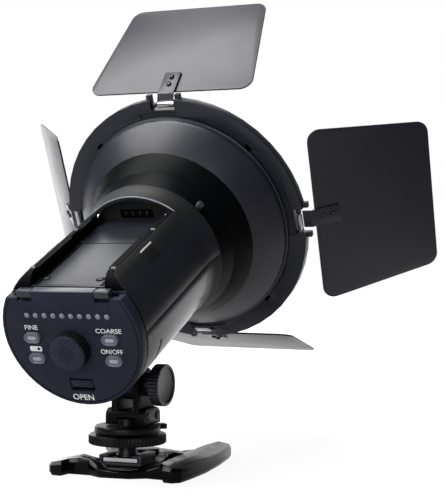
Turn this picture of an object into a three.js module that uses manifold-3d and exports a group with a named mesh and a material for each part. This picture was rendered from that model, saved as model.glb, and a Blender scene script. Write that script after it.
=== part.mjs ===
// Round LED video light with four barn doors, a tilt bracket and a low table stand.
// Millimetres, +Z up, +Y the way the lamp points, origin on the table under the bracket's stem.
import * as THREE from "three";
import { TessellateModifier } from "three/addons/modifiers/TessellateModifier.js";
import { mergeVertices } from "three/addons/utils/BufferGeometryUtils.js";
import Module from "manifold-3d";

const wasm = await Module();
wasm.setup();

const gap = 0.3;
const overrun = 4;
const roundSteps = 48;
const hiddenSteps = 32;
const smallSteps = 20;
const pinSteps = 10;
const tinySteps = 10;
const filletSteps = 4;
const quarter = Math.PI / 2;
const degree = Math.PI / 180;

// Pose of the lamp on its stand
const pose = { tiltAngle: 24.43, ringAngle: 0.34, standAngle: 5 };

// Lamp body, measured along the lamp from its rear face, outwards from its axis
const bay = { half: 19.9, railWall: 3.12, railTop: 28.2, wallAt: 84.5, lipAt: 81.5, wallDepth: 2.5,
  floorTop: 22.8, floorDepth: 2.4 };
const tube = { radius: Math.hypot(bay.half + bay.railWall, bay.railTop), wall: 2.4, seam: 6, straightEnd: 80,
  flare: 2.1, flareEnd: 91.5, end: 93 };
const cap = { wall: 2.8, rimRound: 0.8, top: 19.7, flangeTop: bay.floorTop, flangeHalf: 16.5, flangeDepth: 5,
  flangeDrop: 4 };
const ledge = { half: 17, depth: 1.5 };
const railEnd = { rise: 7.7, run: 7, start: 0.2 };
const lip = { reach: 1.2, depth: 2, first: [15.5, 50], second: [59.5, 71.5] };
const grip = { sideAngle: 48, start: 36, pitch: 2, ribs: 6, width: 0.9, height: 0.5, length: 6.4, sink: 1 };
const standoff = { size: 4, half: 18, near: 20, far: 64 };

// Rear controls, places given sideways and upwards from the lamp's axis
const button = { width: 8.6, height: 5.4, proud: 1, flange: 0.6, flangeDepth: 1, stem: 1.5, stemDepth: 1.1 };
const buttonRows = { upper: -0.8, lower: -11.7, upperHalf: 20.65, lowerHalf: 20.5 };
const dial = { radius: 9.2, depth: 6, up: -5.7, shaft: 2.9, shaftEnd: 6, teeth: 36, toothDepth: 0.35,
  dish: 0.8, lip: 1.3 };
const encoder = { half: 5.5, start: 3.5 };
const dots = { count: 10, pitch: 4.7, up: 10.84, shift: 0.3, hole: 1.4, pipe: 1.1, recess: 0.1 };
const pipeBar = { depth: 1.2, height: 2.5, endMargin: 1.5 };
const slider = { width: 12.4, height: 5, round: 1.5, topAt: -21.9, sunk: 0.4, ribs: 4, ribDepth: 0.5,
  ribWidth: 0.5 };
const catchFrame = { thickness: 1.2, play: 1.6, bar: 1.7, top: 17.4, innerTop: 14.4, innerBottom: -19.3 };
const catchFoot = { bottom: -25.5, half: 16, shoulder: -17, innerHalf: 20, innerShoulder: -15.4 };
const lug = { from: 16.8, to: 24.2, depth: 4.1, top: 23, bottom: 19.9, travel: 1.8 };
const board = { half: 24, top: 8.8, bottom: -18.5, start: 7.2, thickness: 1.6 };
const boss = { radius: 1.8, half: 12, upper: 5.5, lower: -15.5 };
const driver = { half: 24, up: -12, thickness: 1.6, start: 14, end: 70 };
const contact = { half: 9, low: 23.7, high: 28, depth: 2.8 };

// Head, from the neck forwards
const cone = { spigotWall: 2, rootStep: 0.6, bendStep: 1.8, bendAt: 97, grooveStep: 4.6, grooveAt: 103.4 };
const coneRim = { shoulderStep: 9.4, shoulderAt: 111.8, step: 10.8, at: 114.7, wall: 2.8, groove: 0.6 };
const bowl = { shoulder: 13.3, bore: 28, wall: 2.4, barrelRadius: 59.8, shoulderAt: 129.4, round: 4.5,
  end: 138.5 };
const bead = { height: 0.8, start: 131.4, width: 1.6 };
const windowEye = { radius: 1.9, sideAngle: 50, at: 96.8, proud: 3.8, root: 0.8 };
const sink = { play: 9.8, start: 121, thickness: 2.2, fins: 7, finWidth: 2, finPitch: 10, finHalf: 40 };
const ledBoard = { play: 7.8, thickness: 1.6 };
const reflector = { wall: 1, rearPlay: 6.8 };
const diffuser = { thickness: 2, start: 135.2 };
const bezel = { overhang: 2, width: 7.8, depth: 2.7 };

// Barn doors, all four alike
const ring = { width: 9.8, start: 133.3, depth: 5.2 };
const notch = { firstAngle: 43, halfAngle: 2, reach: 2.2 };
const groove = { firstAngle: 3, halfAngle: 10, inset: 1.1, width: 2.2, depth: 1.2 };
const hinge = { inset: 3.5, forward: 2.6, barrel: 1.55, wall: 0.5, from: -3.4, to: 6.2, slotHalf: 6.9,
  slotDrop: 2.3 };
const pin = { radius: 0.7, head: 1.4, headEnd: -3.8, endGap: 0.25 };
const ear = { half: 1.4, from: 6.9, height: 1.8, forward: 2.4 };
const leaf = { start: 8.1, end: 73.7, rootHalf: 48.2, tipHalf: 40, corner: 6.5, thickness: 1, offset: 0.5 };
const tab = { half: 4.6, thickness: 1, end: 21.5, bendAt: 6 };
const openAngles = { topAngle: 63.2, rightAngle: 35.8, bottomAngle: 54.2, leftAngle: 50.8 };
const skewAngles = { topAngle: 0, rightAngle: 1.9, bottomAngle: 0, leftAngle: 0 };

// Bracket between the lamp and the shoe
const pivot = { forward: 6, height: 43.33, along: 45.12, drop: 14.07, bolt: 2.5, fork: 8.6, tongue: 8 };
const fork = { half: 7.6, slotHalf: 4.4, slotDrop: 13, blockHalf: 10.8, blockTop: 32, blockDepth: 18,
  blockRound: 2.5, plateRound: 4 };
const forkScrew = { radius: 2.2, spacing: 10.2, height: 28, depth: 1.5 };
const saddle = { thickness: 1.2, halfAngle: 25, start: 25, end: 68, neckHalf: 15, neckDrop: 2.6 };
const knob = { radius: 10.55, start: 13.5, end: 18.7, hub: 6.1, hubRibs: 14, ribDepth: 0.5, teeth: 40,
  toothDepth: 0.3 };
const knobFace = { rim: 1.6, dish: 0.7, boreEnd: 16.5 };
const nut = { sides: 6, radius: 4.6, start: 9.3, depth: 3.2 };
const washer = { radius: 6, thickness: 0.8 };
const boltHead = { radius: 4.4, depth: 2.6 };

// Shoe adapter
const disc = { radius: 16.5, low: 19.65, high: 23.3, chamfer: 0.5, boss: 5, bossHeight: 3.6, socket: 2.2 };
const thumbTab = { sideAngle: 45, reach: 3.5, half: 2.8, low: 20.8 };
const wheel = { radius: 19.5, low: 14.5, high: 19.1, teeth: 64, toothDepth: 0.6, chamfer: 0.6 };
const footWasher = { radius: 9.5, thickness: 1 };
const foot = { half: 9.1, low: 6, thickness: 2.1, stem: 4.8, root: 5.9, rootHeight: 0.9 };

// Table stand, in its own directions
const plate = { height: 4, bevel: 1, meshEdge: 9 };
const toe = { height: 6.5, ridge: 8.4 };
const standReach = { side: 39, back: 69 };
const shoe = { half: 11.2, inner: 9.6, lipHalf: 6.4, length: 19.6, floor: 1.4, lipLow: 8.4, top: 9.4 };
const insert = { back: 27, radius: 4.1, bore: 2.75, depth: 6.4, bossRadius: 6.2, bossHeight: 8 };

const tints = {
  shellGrey: [0x3b3c42, 0.45, 0], panelGrey: [0x4a4b55, 0.5, 0], satinBlack: [0x1d1e22, 0.35, 0],
  glossBlack: [0x0c0c0e, 0.15, 0], sheetBlack: [0x2b2a30, 0.4, 0.3], brightMetal: [0xd8d8dc, 0.25, 1],
  darkMetal: [0x55565c, 0.35, 1], buttonGrey: [0x9b9da6, 0.35, 0], clearLens: [0xe8e6d8, 0.3, 0],
  boardGreen: [0x1f4a34, 0.6, 0], whiteBoard: [0xdedede, 0.5, 0], rubber: [0x151515, 0.8, 0],
};

// Closed solids from three.js geometry
function solid(geometry) {
  const bare = geometry.clone();
  bare.deleteAttribute("normal");
  bare.deleteAttribute("uv");
  const merged = mergeVertices(bare);
  const places = merged.attributes.position.array;
  const corners = merged.index.array;
  const kept = [];
  for (let i = 0; i < corners.length; i += 3) {
    const [a, b, c] = [corners[i], corners[i + 1], corners[i + 2]];
    if (a !== b && b !== c && a !== c) kept.push(a, b, c);
  }
  if (signedVolume(places, kept) < 0) kept.reverse();
  const mesh = new wasm.Mesh({ numProp: 3, vertProperties: places, triVerts: Uint32Array.from(kept) });
  return new wasm.Manifold(mesh);
}

function signedVolume(places, corners) {
  const point = (i) => new THREE.Vector3().fromArray(places, 3 * i);
  let total = 0;
  for (let i = 0; i < corners.length; i += 3) {
    const cross = point(corners[i + 1]).cross(point(corners[i + 2]));
    total += point(corners[i]).dot(cross);
  }
  return total;
}

function cut(body, ...tools) {
  return tools.reduce((rest, tool) => rest.subtract(tool), body);
}

function join(...bodies) {
  return bodies.reduce((all, body) => all.add(body));
}

function meshOf(name, body, tint) {
  const raw = body.getMesh();
  const geometry = new THREE.BufferGeometry();
  geometry.setAttribute("position", new THREE.Float32BufferAttribute(raw.vertProperties, 3));
  geometry.setIndex(Array.from(raw.triVerts));
  geometry.computeVertexNormals();
  const [color, roughness, metalness] = tints[tint];
  const mesh = new THREE.Mesh(geometry, new THREE.MeshStandardMaterial({ color, roughness, metalness }));
  mesh.name = name;
  return mesh;
}

// Boxes by their limits, cylinders along an axis, prisms along an axis and turned forms
function box(x, y, z) {
  const [w, d, h] = [x, y, z].map((side) => side[1] - side[0]);
  const [cx, cy, cz] = [x, y, z].map((side) => (side[0] + side[1]) / 2);
  return solid(new THREE.BoxGeometry(w, d, h).translate(cx, cy, cz));
}

function both(make) {
  return join(make(1), make(-1));
}

function sideBox(sign, from, to, y, z) {
  return box([Math.min(sign * from, sign * to), Math.max(sign * from, sign * to)], y, z);
}

function rod(axis, radius, span, at = [0, 0], steps = smallSteps) {
  const geometry = new THREE.CylinderGeometry(radius, radius, span[1] - span[0], steps);
  const middle = (span[0] + span[1]) / 2;
  if (axis === "x") geometry.rotateZ(-quarter).translate(middle, at[0], at[1]);
  if (axis === "y") geometry.translate(at[0], middle, at[1]);
  if (axis === "z") geometry.rotateX(quarter).translate(at[0], at[1], middle);
  return solid(geometry);
}

const prismTurns = {
  x: new THREE.Matrix4().set(0, 0, 1, 0, 1, 0, 0, 0, 0, 1, 0, 0, 0, 0, 0, 1),
  y: new THREE.Matrix4().set(1, 0, 0, 0, 0, 0, -1, 0, 0, 1, 0, 0, 0, 0, 0, 1),
  z: new THREE.Matrix4(),
};

// A prism's outline lies in the other two directions, in the order X, Y, Z
function prismGeometry(axis, shape, span, steps = filletSteps) {
  const depth = span[1] - span[0];
  const geometry = new THREE.ExtrudeGeometry(shape, { depth, bevelEnabled: false, curveSegments: steps });
  geometry.translate(0, 0, axis === "y" ? -span[1] : span[0]);
  return geometry.applyMatrix4(prismTurns[axis]);
}

function prism(axis, shape, span, steps) {
  return solid(prismGeometry(axis, shape, span, steps));
}

function outline(points) {
  return new THREE.Shape(points.map(([x, y]) => new THREE.Vector2(x, y)));
}

function turned(points, steps = roundSteps) {
  return solid(new THREE.LatheGeometry(points.map(([r, y]) => new THREE.Vector2(r, y)), steps));
}

function turnedUp(points, steps = roundSteps) {
  const profile = points.map(([r, z]) => new THREE.Vector2(r, z));
  return solid(new THREE.LatheGeometry(profile, steps).rotateX(quarter));
}

function closedRing(points) {
  return [...points, points[0]];
}

function arcPoints(center, radii, from, to, steps = filletSteps) {
  const points = [];
  for (let i = 0; i <= steps; i += 1) {
    const angle = (from + ((to - from) * i) / steps) * degree;
    points.push([center[0] + radii[0] * Math.cos(angle), center[1] + radii[1] * Math.sin(angle)]);
  }
  return points;
}

function roundedBox(width, height, radius, at = [0, 0]) {
  const r = Math.min(radius, width / 2, height / 2);
  const [right, top] = [at[0] + width / 2 - r, at[1] + height / 2 - r];
  const [left, bottom] = [at[0] - width / 2 + r, at[1] - height / 2 + r];
  const shape = new THREE.Shape();
  shape.absarc(right, top, r, 0, quarter, false);
  shape.absarc(left, top, r, quarter, 2 * quarter, false);
  shape.absarc(left, bottom, r, 2 * quarter, 3 * quarter, false);
  shape.absarc(right, bottom, r, 3 * quarter, 4 * quarter, false);
  return shape;
}

// A round outline with teeth: every tooth has a flat crest and a flat root
function toothed(radius, depth, teeth) {
  const points = [];
  for (let i = 0; i < 2 * teeth; i += 1) {
    const angle = (i * Math.PI) / teeth;
    const r = i % 2 ? radius : radius - depth;
    points.push([r * Math.cos(angle), r * Math.sin(angle)]);
  }
  return outline(points);
}

const group = (...children) => new THREE.Group().add(...children);

// Rear cap with the control panel
const shellStart = tube.seam + gap;
const tubeBore = tube.radius - tube.wall;
const sliderOpening = [slider.topAt - slider.height - lug.travel - gap, slider.topAt + gap];

function buttonPlaces() {
  return {
    fine: [-buttonRows.upperHalf, buttonRows.upper],
    coarse: [buttonRows.upperHalf, buttonRows.upper],
    battery_check: [-buttonRows.lowerHalf, buttonRows.lower],
    power: [buttonRows.lowerHalf, buttonRows.lower],
  };
}

function dotPlaces() {
  const middle = (dots.count - 1) / 2;
  return Array.from({ length: dots.count }, (_, i) => dots.shift + (i - middle) * dots.pitch);
}

function rearCap() {
  const r = tube.radius;
  const rim = arcPoints([r - cap.rimRound, cap.rimRound], [cap.rimRound, cap.rimRound], 270, 360, 3);
  const shell = turned([[0, 0], ...rim, [r, tube.seam], [tubeBore, tube.seam], [tubeBore, cap.wall],
    [0, cap.wall]]);
  const above = [cap.top, r + overrun];
  const trimmed = cut(shell, box([-r, r], [-overrun, tube.seam + overrun], above));
  const flangeSpan = [-cap.flangeHalf, cap.flangeHalf];
  const flange = box(flangeSpan, [0, cap.flangeDepth], [cap.flangeTop - cap.flangeDrop, cap.flangeTop]);
  const through = [-overrun, cap.wall + overrun];
  const slotSpan = [-overrun, tube.seam + overrun];
  const lugSlots = both((sign) => sideBox(sign, lug.from - gap, lug.to + gap, slotSpan,
    [lug.bottom - lug.travel - gap, r]));
  const holes = Object.values(buttonPlaces()).map((at) => prism("y",
    roundedBox(button.width + 2 * gap, button.height + 2 * gap, button.height, at), through));
  const dotHoles = dotPlaces().map((u) => rod("y", dots.hole, through, [u, dots.up], tinySteps - 2));
  const dialHole = rod("y", dial.shaft + gap, through, [0, dial.up]);
  const sliderMiddle = [0, (sliderOpening[0] + sliderOpening[1]) / 2];
  const sliderHole = prism("y", roundedBox(slider.width + 2 * gap, sliderOpening[1] - sliderOpening[0],
    slider.round, sliderMiddle), through);
  const bosses = [boss.upper, boss.lower].map((up) => both((sign) =>
    rod("y", boss.radius, [cap.wall - cap.rimRound, board.start - gap], [sign * boss.half, up], tinySteps)));
  return cut(join(trimmed, flange, ...bosses), lugSlots, ...holes, ...dotHoles, dialHole, sliderHole);
}

function buttonBody() {
  const flangeStart = cap.wall + gap;
  const flangeEnd = flangeStart + button.flangeDepth;
  const pill = (grow, span) => prism("y",
    roundedBox(button.width + grow, button.height + grow, button.height), span);
  const cover = pill(0, [-button.proud, flangeStart]);
  const flange = pill(2 * button.flange, [flangeStart, flangeEnd]);
  const stem = rod("y", button.stem, [flangeStart, flangeEnd + button.stemDepth], [0, 0], tinySteps);
  return join(cover, flange, stem);
}

function dialBody() {
  const rim = prism("y", toothed(dial.radius, dial.toothDepth, dial.teeth), [-gap - dial.depth, -gap]);
  const face = -gap - dial.depth;
  const dishRadius = dial.radius - dial.lip;
  const dish = turned([[0, face - overrun], [dishRadius, face - overrun], [dishRadius, face],
    [dishRadius - dial.dish, face + dial.dish], [0, face + dial.dish]], hiddenSteps);
  const shaft = rod("y", dial.shaft, [-gap - dial.dish, dial.shaftEnd]);
  return join(cut(rim, dish), shaft);
}

function encoderBody() {
  const span = [-encoder.half, encoder.half];
  const block = box(span, [encoder.start, board.start - gap], span);
  return cut(block, rod("y", dial.shaft + gap, [0, board.start + overrun]));
}

function lightPipe() {
  const start = cap.wall + gap;
  const places = dotPlaces();
  const ends = [places[0] - pipeBar.endMargin, places[places.length - 1] + pipeBar.endMargin];
  const heights = [dots.up - pipeBar.height / 2, dots.up + pipeBar.height / 2];
  const bar = box(ends, [start, start + pipeBar.depth], heights);
  const tips = places.map((u) => rod("y", dots.pipe, [dots.recess, start + pipeBar.depth / 2], [u, dots.up],
    tinySteps - 2));
  return join(bar, ...tips);
}

function openSlider() {
  const half = slider.width / 2;
  const heights = [slider.topAt - slider.height, slider.topAt];
  const rounded = roundedBox(slider.width, slider.height, slider.round, [0, slider.topAt - slider.height / 2]);
  const body = prism("y", rounded, [slider.sunk + slider.ribDepth, cap.wall]);
  const pitch = (slider.height - slider.ribWidth) / (slider.ribs - 1);
  const ribs = Array.from({ length: slider.ribs }, (_, i) => {
    const low = heights[0] + i * pitch;
    return box([-half, half], [slider.sunk, cap.wall - slider.ribDepth], [low, low + slider.ribWidth]);
  });
  return join(body, join(...ribs).intersect(prism("y", rounded, [0, cap.wall])));
}

// Catch: a frame behind the panel that carries the two battery lugs and the slider
function batteryCatch() {
  const start = cap.wall + gap;
  const span = [start, start + catchFrame.thickness];
  const corners = (side, top, shoulder, footHalf, bottom) => outline([
    [-side, top], [-side, shoulder], [-footHalf, bottom], [footHalf, bottom], [side, shoulder], [side, top]]);
  const half = Math.sqrt(tubeBore ** 2 - catchFrame.top ** 2) - catchFrame.play;
  const outer = corners(half, catchFrame.top, catchFoot.shoulder, catchFoot.half, catchFoot.bottom);
  const inner = corners(half - catchFrame.bar, catchFrame.innerTop, catchFoot.innerShoulder,
    catchFoot.innerHalf, catchFrame.innerBottom);
  const frame = cut(prism("y", outer, span), prism("y", inner, [0, tube.seam]));
  const arms = both((sign) => sideBox(sign, lug.from, lug.to, span, [catchFrame.innerTop, lug.bottom + gap]));
  const lugs = both((sign) => sideBox(sign, lug.from, lug.to, [gap, gap + lug.depth], [lug.bottom, lug.top]));
  return join(frame, arms, lugs);
}

function controlBoard() {
  const span = [board.start, board.start + board.thickness];
  return box([-board.half, board.half], span, [board.bottom, board.top]);
}

// Body shells
const flareRadius = tube.radius + tube.flare;

function shellRing() {
  const flare = [];
  for (let i = 0; i <= filletSteps; i += 1) {
    const share = i / filletSteps;
    const bend = 1 - Math.cos(share * quarter);
    flare.push([tube.radius + tube.flare * bend,
      tube.straightEnd + (tube.flareEnd - tube.straightEnd) * share]);
  }
  return turned(closedRing([[tubeBore, shellStart], [tube.radius, shellStart], ...flare,
    [flareRadius, tube.end], [tubeBore, tube.end]]));
}

function halfSpace(sign) {
  const far = flareRadius + overrun;
  const heights = sign > 0 ? [gap / 2, far] : [-far, -gap / 2];
  return box([-far, far], [-overrun, tube.end + overrun], heights);
}

function tubeSolid(radius, span) {
  return rod("y", radius, span, [0, 0], roundSteps);
}

function lowerShell() {
  const aroundPost = (at) => [at - standoff.size / 2, at + standoff.size / 2];
  const posts = [standoff.near, standoff.far].map((at) => both((sign) =>
    box(aroundPost(sign * standoff.half), aroundPost(at), [-tube.radius, driver.up - gap])));
  const inside = tubeSolid(tubeBore + tube.wall / 2, [shellStart, tube.end]);
  return join(shellRing().intersect(halfSpace(-1)), join(...posts).intersect(inside));
}

function upperShell() {
  const r = tube.radius;
  const bottom = bay.floorTop - bay.floorDepth - gap - ledge.depth;
  const railSpan = [shellStart, bay.wallAt + bay.wallDepth];
  const full = tubeSolid(r, railSpan);
  const rails = both((sign) => sideBox(sign, ledge.half, r, railSpan, [bottom, bay.railTop])).intersect(full);
  const bulkhead = box([-r, r], [bay.wallAt, bay.wallAt + bay.wallDepth], [bottom, r])
    .intersect(tubeSolid(tubeBore + tube.wall / 2, railSpan));
  const blank = join(shellRing().intersect(halfSpace(1)), rails, bulkhead);
  const room = box([-bay.half, bay.half], [-overrun, bay.wallAt], [bottom + ledge.depth, r + overrun]);
  const underArch = room.intersect(tubeSolid(tubeBore, [-overrun, bay.wallAt]));
  const aboveRails = box([-r, r], [-overrun, bay.lipAt], [bay.railTop, r + overrun]);
  const opening = box([-bay.half, bay.half], [-overrun, bay.lipAt], [bottom + ledge.depth, r + overrun]);
  const contactHole = box([-contact.half - gap, contact.half + gap],
    [bay.wallAt - overrun, bay.wallAt + bay.wallDepth + overrun], [contact.low - gap, contact.high + gap]);
  const lips = [lip.first, lip.second].map((span) => both((sign) =>
    sideBox(sign, bay.half - lip.reach, bay.half + lip.reach, span, [bay.railTop - lip.depth, bay.railTop])));
  const body = cut(blank, underArch, opening, aboveRails, railEndCut(), contactHole);
  return join(body, ...lips, both(gripRibs));
}

function railEndCut() {
  const start = shellStart + railEnd.start;
  const low = bay.railTop - railEnd.rise;
  const curve = arcPoints([start + railEnd.run, low], [railEnd.run, railEnd.rise], 180, 90);
  const shape = outline([[-overrun, low], ...curve, [start + railEnd.run, tube.radius + overrun],
    [-overrun, tube.radius + overrun]]);
  return prism("x", shape, [-tube.radius, tube.radius]);
}

function gripRibs(sign) {
  const ribs = Array.from({ length: grip.ribs }, (_, i) => {
    const low = grip.start + i * grip.pitch;
    const geometry = new THREE.BoxGeometry(grip.length, grip.width, grip.height + grip.sink);
    geometry.translate(0, low + grip.width / 2, tube.radius + (grip.height - grip.sink) / 2);
    return solid(geometry.rotateY(sign * grip.sideAngle * degree));
  });
  return join(...ribs);
}

function bayPlate() {
  const half = bay.half - gap;
  const heights = [bay.floorTop - bay.floorDepth, bay.floorTop];
  return box([-half, half], [shellStart + gap, bay.wallAt - gap], heights);
}

function contactBlock() {
  const span = [bay.wallAt, bay.wallAt + contact.depth];
  return box([-contact.half, contact.half], span, [contact.low, contact.high]);
}

function driverBoard() {
  const heights = [driver.up, driver.up + driver.thickness];
  return box([-driver.half, driver.half], [driver.start, driver.end], heights);
}

// Head
const coneStart = tube.end + gap;
const bowlStart = coneRim.at + gap;
const barrelBore = bowl.barrelRadius - bowl.wall;
const ringBore = bowl.barrelRadius + gap;
const ringRadius = ringBore + ring.width;
const ringEnd = ring.start + ring.depth;

function neckCone() {
  const spigotStart = bay.wallAt + bay.wallDepth + gap;
  const spigotRadius = tubeBore - gap;
  const bore = spigotRadius - cone.spigotWall;
  const grooveRadius = tube.radius + cone.grooveStep;
  const rimRadius = tube.radius + coneRim.step;
  const profile = [[bore, spigotStart], [spigotRadius, spigotStart], [spigotRadius, coneStart],
    [tube.radius + cone.rootStep, coneStart], [tube.radius + cone.bendStep, cone.bendAt],
    [grooveRadius, cone.grooveAt - coneRim.groove], [grooveRadius - coneRim.groove, cone.grooveAt],
    [grooveRadius, cone.grooveAt + coneRim.groove], [tube.radius + coneRim.shoulderStep, coneRim.shoulderAt],
    [rimRadius, coneRim.at], [rimRadius - coneRim.wall, coneRim.at],
    [grooveRadius - coneRim.wall, cone.grooveAt + coneRim.groove], [bore, cone.bendAt]];
  return cut(turned(closedRing(profile)), windowRod(gap, overrun));
}

function windowRod(wider = 0, longer = 0) {
  const radius = windowEye.radius + wider;
  const from = tube.radius - windowEye.root - longer;
  const to = tube.radius + windowEye.proud + longer;
  const geometry = new THREE.CylinderGeometry(radius, radius, to - from, smallSteps).rotateX(quarter);
  geometry.translate(0, windowEye.at, (from + to) / 2).rotateY(windowEye.sideAngle * degree);
  return solid(geometry);
}

function headBowl() {
  const { wall, round } = bowl;
  const rear = bowl.barrelRadius - bowl.shoulder;
  const slope = Math.atan2(bowl.shoulder, bowl.shoulderAt - bowlStart);
  const center = [bowl.barrelRadius - round, bowl.shoulderAt + round * Math.tan(slope / 2)];
  const outer = arcPoints(center, [round, round], -slope / degree, 0);
  const inner = arcPoints(center, [round - wall, round - wall], 0, -slope / degree);
  const innerRear = rear + wall * Math.tan(slope) - wall / Math.cos(slope);
  const beadOuter = bowl.barrelRadius + bead.height;
  const beadEnd = bead.start + bead.width;
  return turned(closedRing([[bowl.bore, bowlStart], [rear, bowlStart], ...outer, [bowl.barrelRadius, bead.start],
    [beadOuter, bead.start + bead.height / 2], [beadOuter, beadEnd], [bowl.barrelRadius, beadEnd],
    [bowl.barrelRadius, bowl.end], [bowl.barrelRadius - wall, bowl.end], ...inner,
    [innerRear, bowlStart + wall], [bowl.bore, bowlStart + wall]]));
}

function heatSink() {
  const end = sink.start + sink.thickness;
  const back = rod("y", barrelBore - sink.play, [sink.start, end], [0, 0], hiddenSteps);
  const finStart = bowlStart + bowl.wall + gap;
  const reach = rod("y", sink.finHalf, [finStart, end], [0, 0], hiddenSteps);
  const middle = (sink.fins - 1) / 2;
  const fins = Array.from({ length: sink.fins }, (_, i) => {
    const center = (i - middle) * sink.finPitch;
    const sides = [center - sink.finWidth / 2, center + sink.finWidth / 2];
    const depth = [finStart, sink.start + sink.thickness / 2];
    return box(sides, depth, [-sink.finHalf, sink.finHalf]).intersect(reach);
  });
  return join(back, ...fins);
}

const ledStart = sink.start + sink.thickness + gap;
const reflectorStart = ledStart + ledBoard.thickness + gap;

function ledBoardBody() {
  const span = [ledStart, ledStart + ledBoard.thickness];
  return rod("y", barrelBore - ledBoard.play, span, [0, 0], hiddenSteps);
}

function reflectorRing() {
  const [rear, front] = [barrelBore - reflector.rearPlay, barrelBore - gap];
  const end = diffuser.start - gap;
  return turned(closedRing([[rear - reflector.wall, reflectorStart], [rear, reflectorStart], [front, end],
    [front - reflector.wall, end]]), hiddenSteps);
}

function diffuserLens() {
  const span = [diffuser.start, diffuser.start + diffuser.thickness];
  return rod("y", barrelBore - gap, span, [0, 0], roundSteps);
}

function frontBezel() {
  const start = bowl.end + gap;
  const end = start + bezel.depth;
  const spigotEnd = diffuser.start + diffuser.thickness + gap;
  const spigot = barrelBore - gap;
  const radius = bowl.barrelRadius + bezel.overhang;
  const bore = radius - bezel.width;
  return turned(closedRing([[bore, spigotEnd], [spigot, spigotEnd], [spigot, start], [radius, start],
    [radius, end - cap.rimRound], [radius - cap.rimRound, end], [bore, end]]));
}

// Barn doors
const hingeRadius = ringRadius - hinge.inset;
const hingeAt = ring.start + hinge.forward;

function ringBody() {
  const through = [ring.start - overrun, ringEnd + overrun];
  const body = turned(closedRing([[ringBore, ring.start], [ringRadius, ring.start], [ringRadius, ringEnd],
    [ringBore, ringEnd]]));
  const ears = quarters((turn) => both((sign) => {
    const near = sign * ear.from;
    const far = sign * (ear.from + 2 * ear.half);
    return turnedSlot(box([Math.min(near, far), Math.max(near, far)], [ring.start + ear.forward, ringEnd],
      [ringRadius - ear.height, ringRadius + ear.height]), turn);
  }));
  const slots = quarters((turn) => turnedSlot(box([-hinge.slotHalf, hinge.slotHalf], through,
    [hingeRadius - hinge.slotDrop, ringRadius + overrun]), turn));
  const notches = quarters((turn) => sector(ringBore - overrun, ringBore + notch.reach,
    notch.firstAngle + turn, notch.halfAngle, through));
  const inner = ringBore + groove.inset;
  const grooves = quarters((turn) => sector(inner, inner + groove.width, groove.firstAngle + turn,
    groove.halfAngle, [ring.start - overrun, ring.start + groove.depth]));
  return cut(join(body, ears), slots, notches, grooves);
}

function quarters(make) {
  return join(...[0, 90, 180, 270].map(make));
}

function turnedSlot(body, turn) {
  return body.rotate([0, turn, 0]);
}

function sector(inner, outer, middle, halfSpan, span, steps = filletSteps) {
  const outside = arcPoints([0, 0], [outer, outer], middle - halfSpan, middle + halfSpan, steps);
  const inside = arcPoints([0, 0], [inner, inner], middle + halfSpan, middle - halfSpan, steps);
  return prism("y", outline([...outside, ...inside]), span);
}

function leafSheet() {
  const shape = new THREE.Shape();
  const slope = Math.atan2(leaf.rootHalf - leaf.tipHalf, leaf.end - leaf.start);
  const rootReach = leaf.corner / Math.tan((quarter - slope) / 2);
  const tipReach = leaf.corner / Math.tan((quarter + slope) / 2);
  const [rootAt, tipAt] = [leaf.start + leaf.corner, leaf.end - leaf.corner];
  const [rootSide, tipSide] = [leaf.rootHalf - rootReach, leaf.tipHalf - tipReach];
  shape.absarc(-rootSide, rootAt, leaf.corner, 2 * quarter - slope, 3 * quarter, false);
  shape.absarc(rootSide, rootAt, leaf.corner, 3 * quarter, 4 * quarter + slope, false);
  shape.absarc(tipSide, tipAt, leaf.corner, slope, quarter, false);
  shape.absarc(-tipSide, tipAt, leaf.corner, quarter, 2 * quarter - slope, false);
  return prism("y", shape, [-leaf.offset - leaf.thickness, -leaf.offset]);
}

function hingeTab() {
  const outer = -leaf.offset - leaf.thickness - gap;
  const inner = outer - tab.thickness;
  const root = hinge.barrel + gap;
  const halfRoot = tab.thickness / 2;
  const profile = outline([[-halfRoot, root], [halfRoot, root], [halfRoot, root + tab.thickness],
    [outer, tab.bendAt], [outer, tab.end], [inner, tab.end], [inner, tab.bendAt - tab.thickness / 2],
    [-halfRoot, root + tab.thickness / 2]]);
  return prism("x", profile, [-tab.half, tab.half]);
}

function hingeBarrel() {
  const through = [hinge.from - overrun, hinge.to + overrun];
  return cut(rod("x", hinge.barrel, [hinge.from, hinge.to], [0, 0], pinSteps),
    rod("x", hinge.barrel - hinge.wall, through, [0, 0], pinSteps));
}

function hingePin() {
  const ends = [-hinge.slotHalf + pin.endGap, hinge.slotHalf - pin.endGap];
  const head = rod("x", pin.head, [ends[0], pin.headEnd], [0, 0], pinSteps);
  return join(rod("x", pin.radius, ends, [0, 0], pinSteps), head);
}

function pinAt(side, turn) {
  const place = group(moved(meshOf(`hinge_pin_${side}`, hingePin(), "darkMetal"), 0, hingeAt, hingeRadius));
  place.rotation.y = turn * degree;
  return place;
}

function leafGroup(side, turn) {
  const sheet = group(meshOf(`leaf_${side}`, leafSheet(), "sheetBlack"));
  sheet.rotation.y = skewAngles[`${side}Angle`] * degree;
  const swing = group(sheet, meshOf(`hinge_tab_${side}`, hingeTab(), "sheetBlack"),
    meshOf(`hinge_barrel_${side}`, hingeBarrel(), "brightMetal"));
  swing.position.set(0, hingeAt, hingeRadius);
  swing.rotation.x = -openAngles[`${side}Angle`] * degree;
  const place = group(swing);
  place.rotation.y = turn * degree;
  return place;
}

// Bracket
const pivotBelow = tube.radius + pivot.drop;

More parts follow.
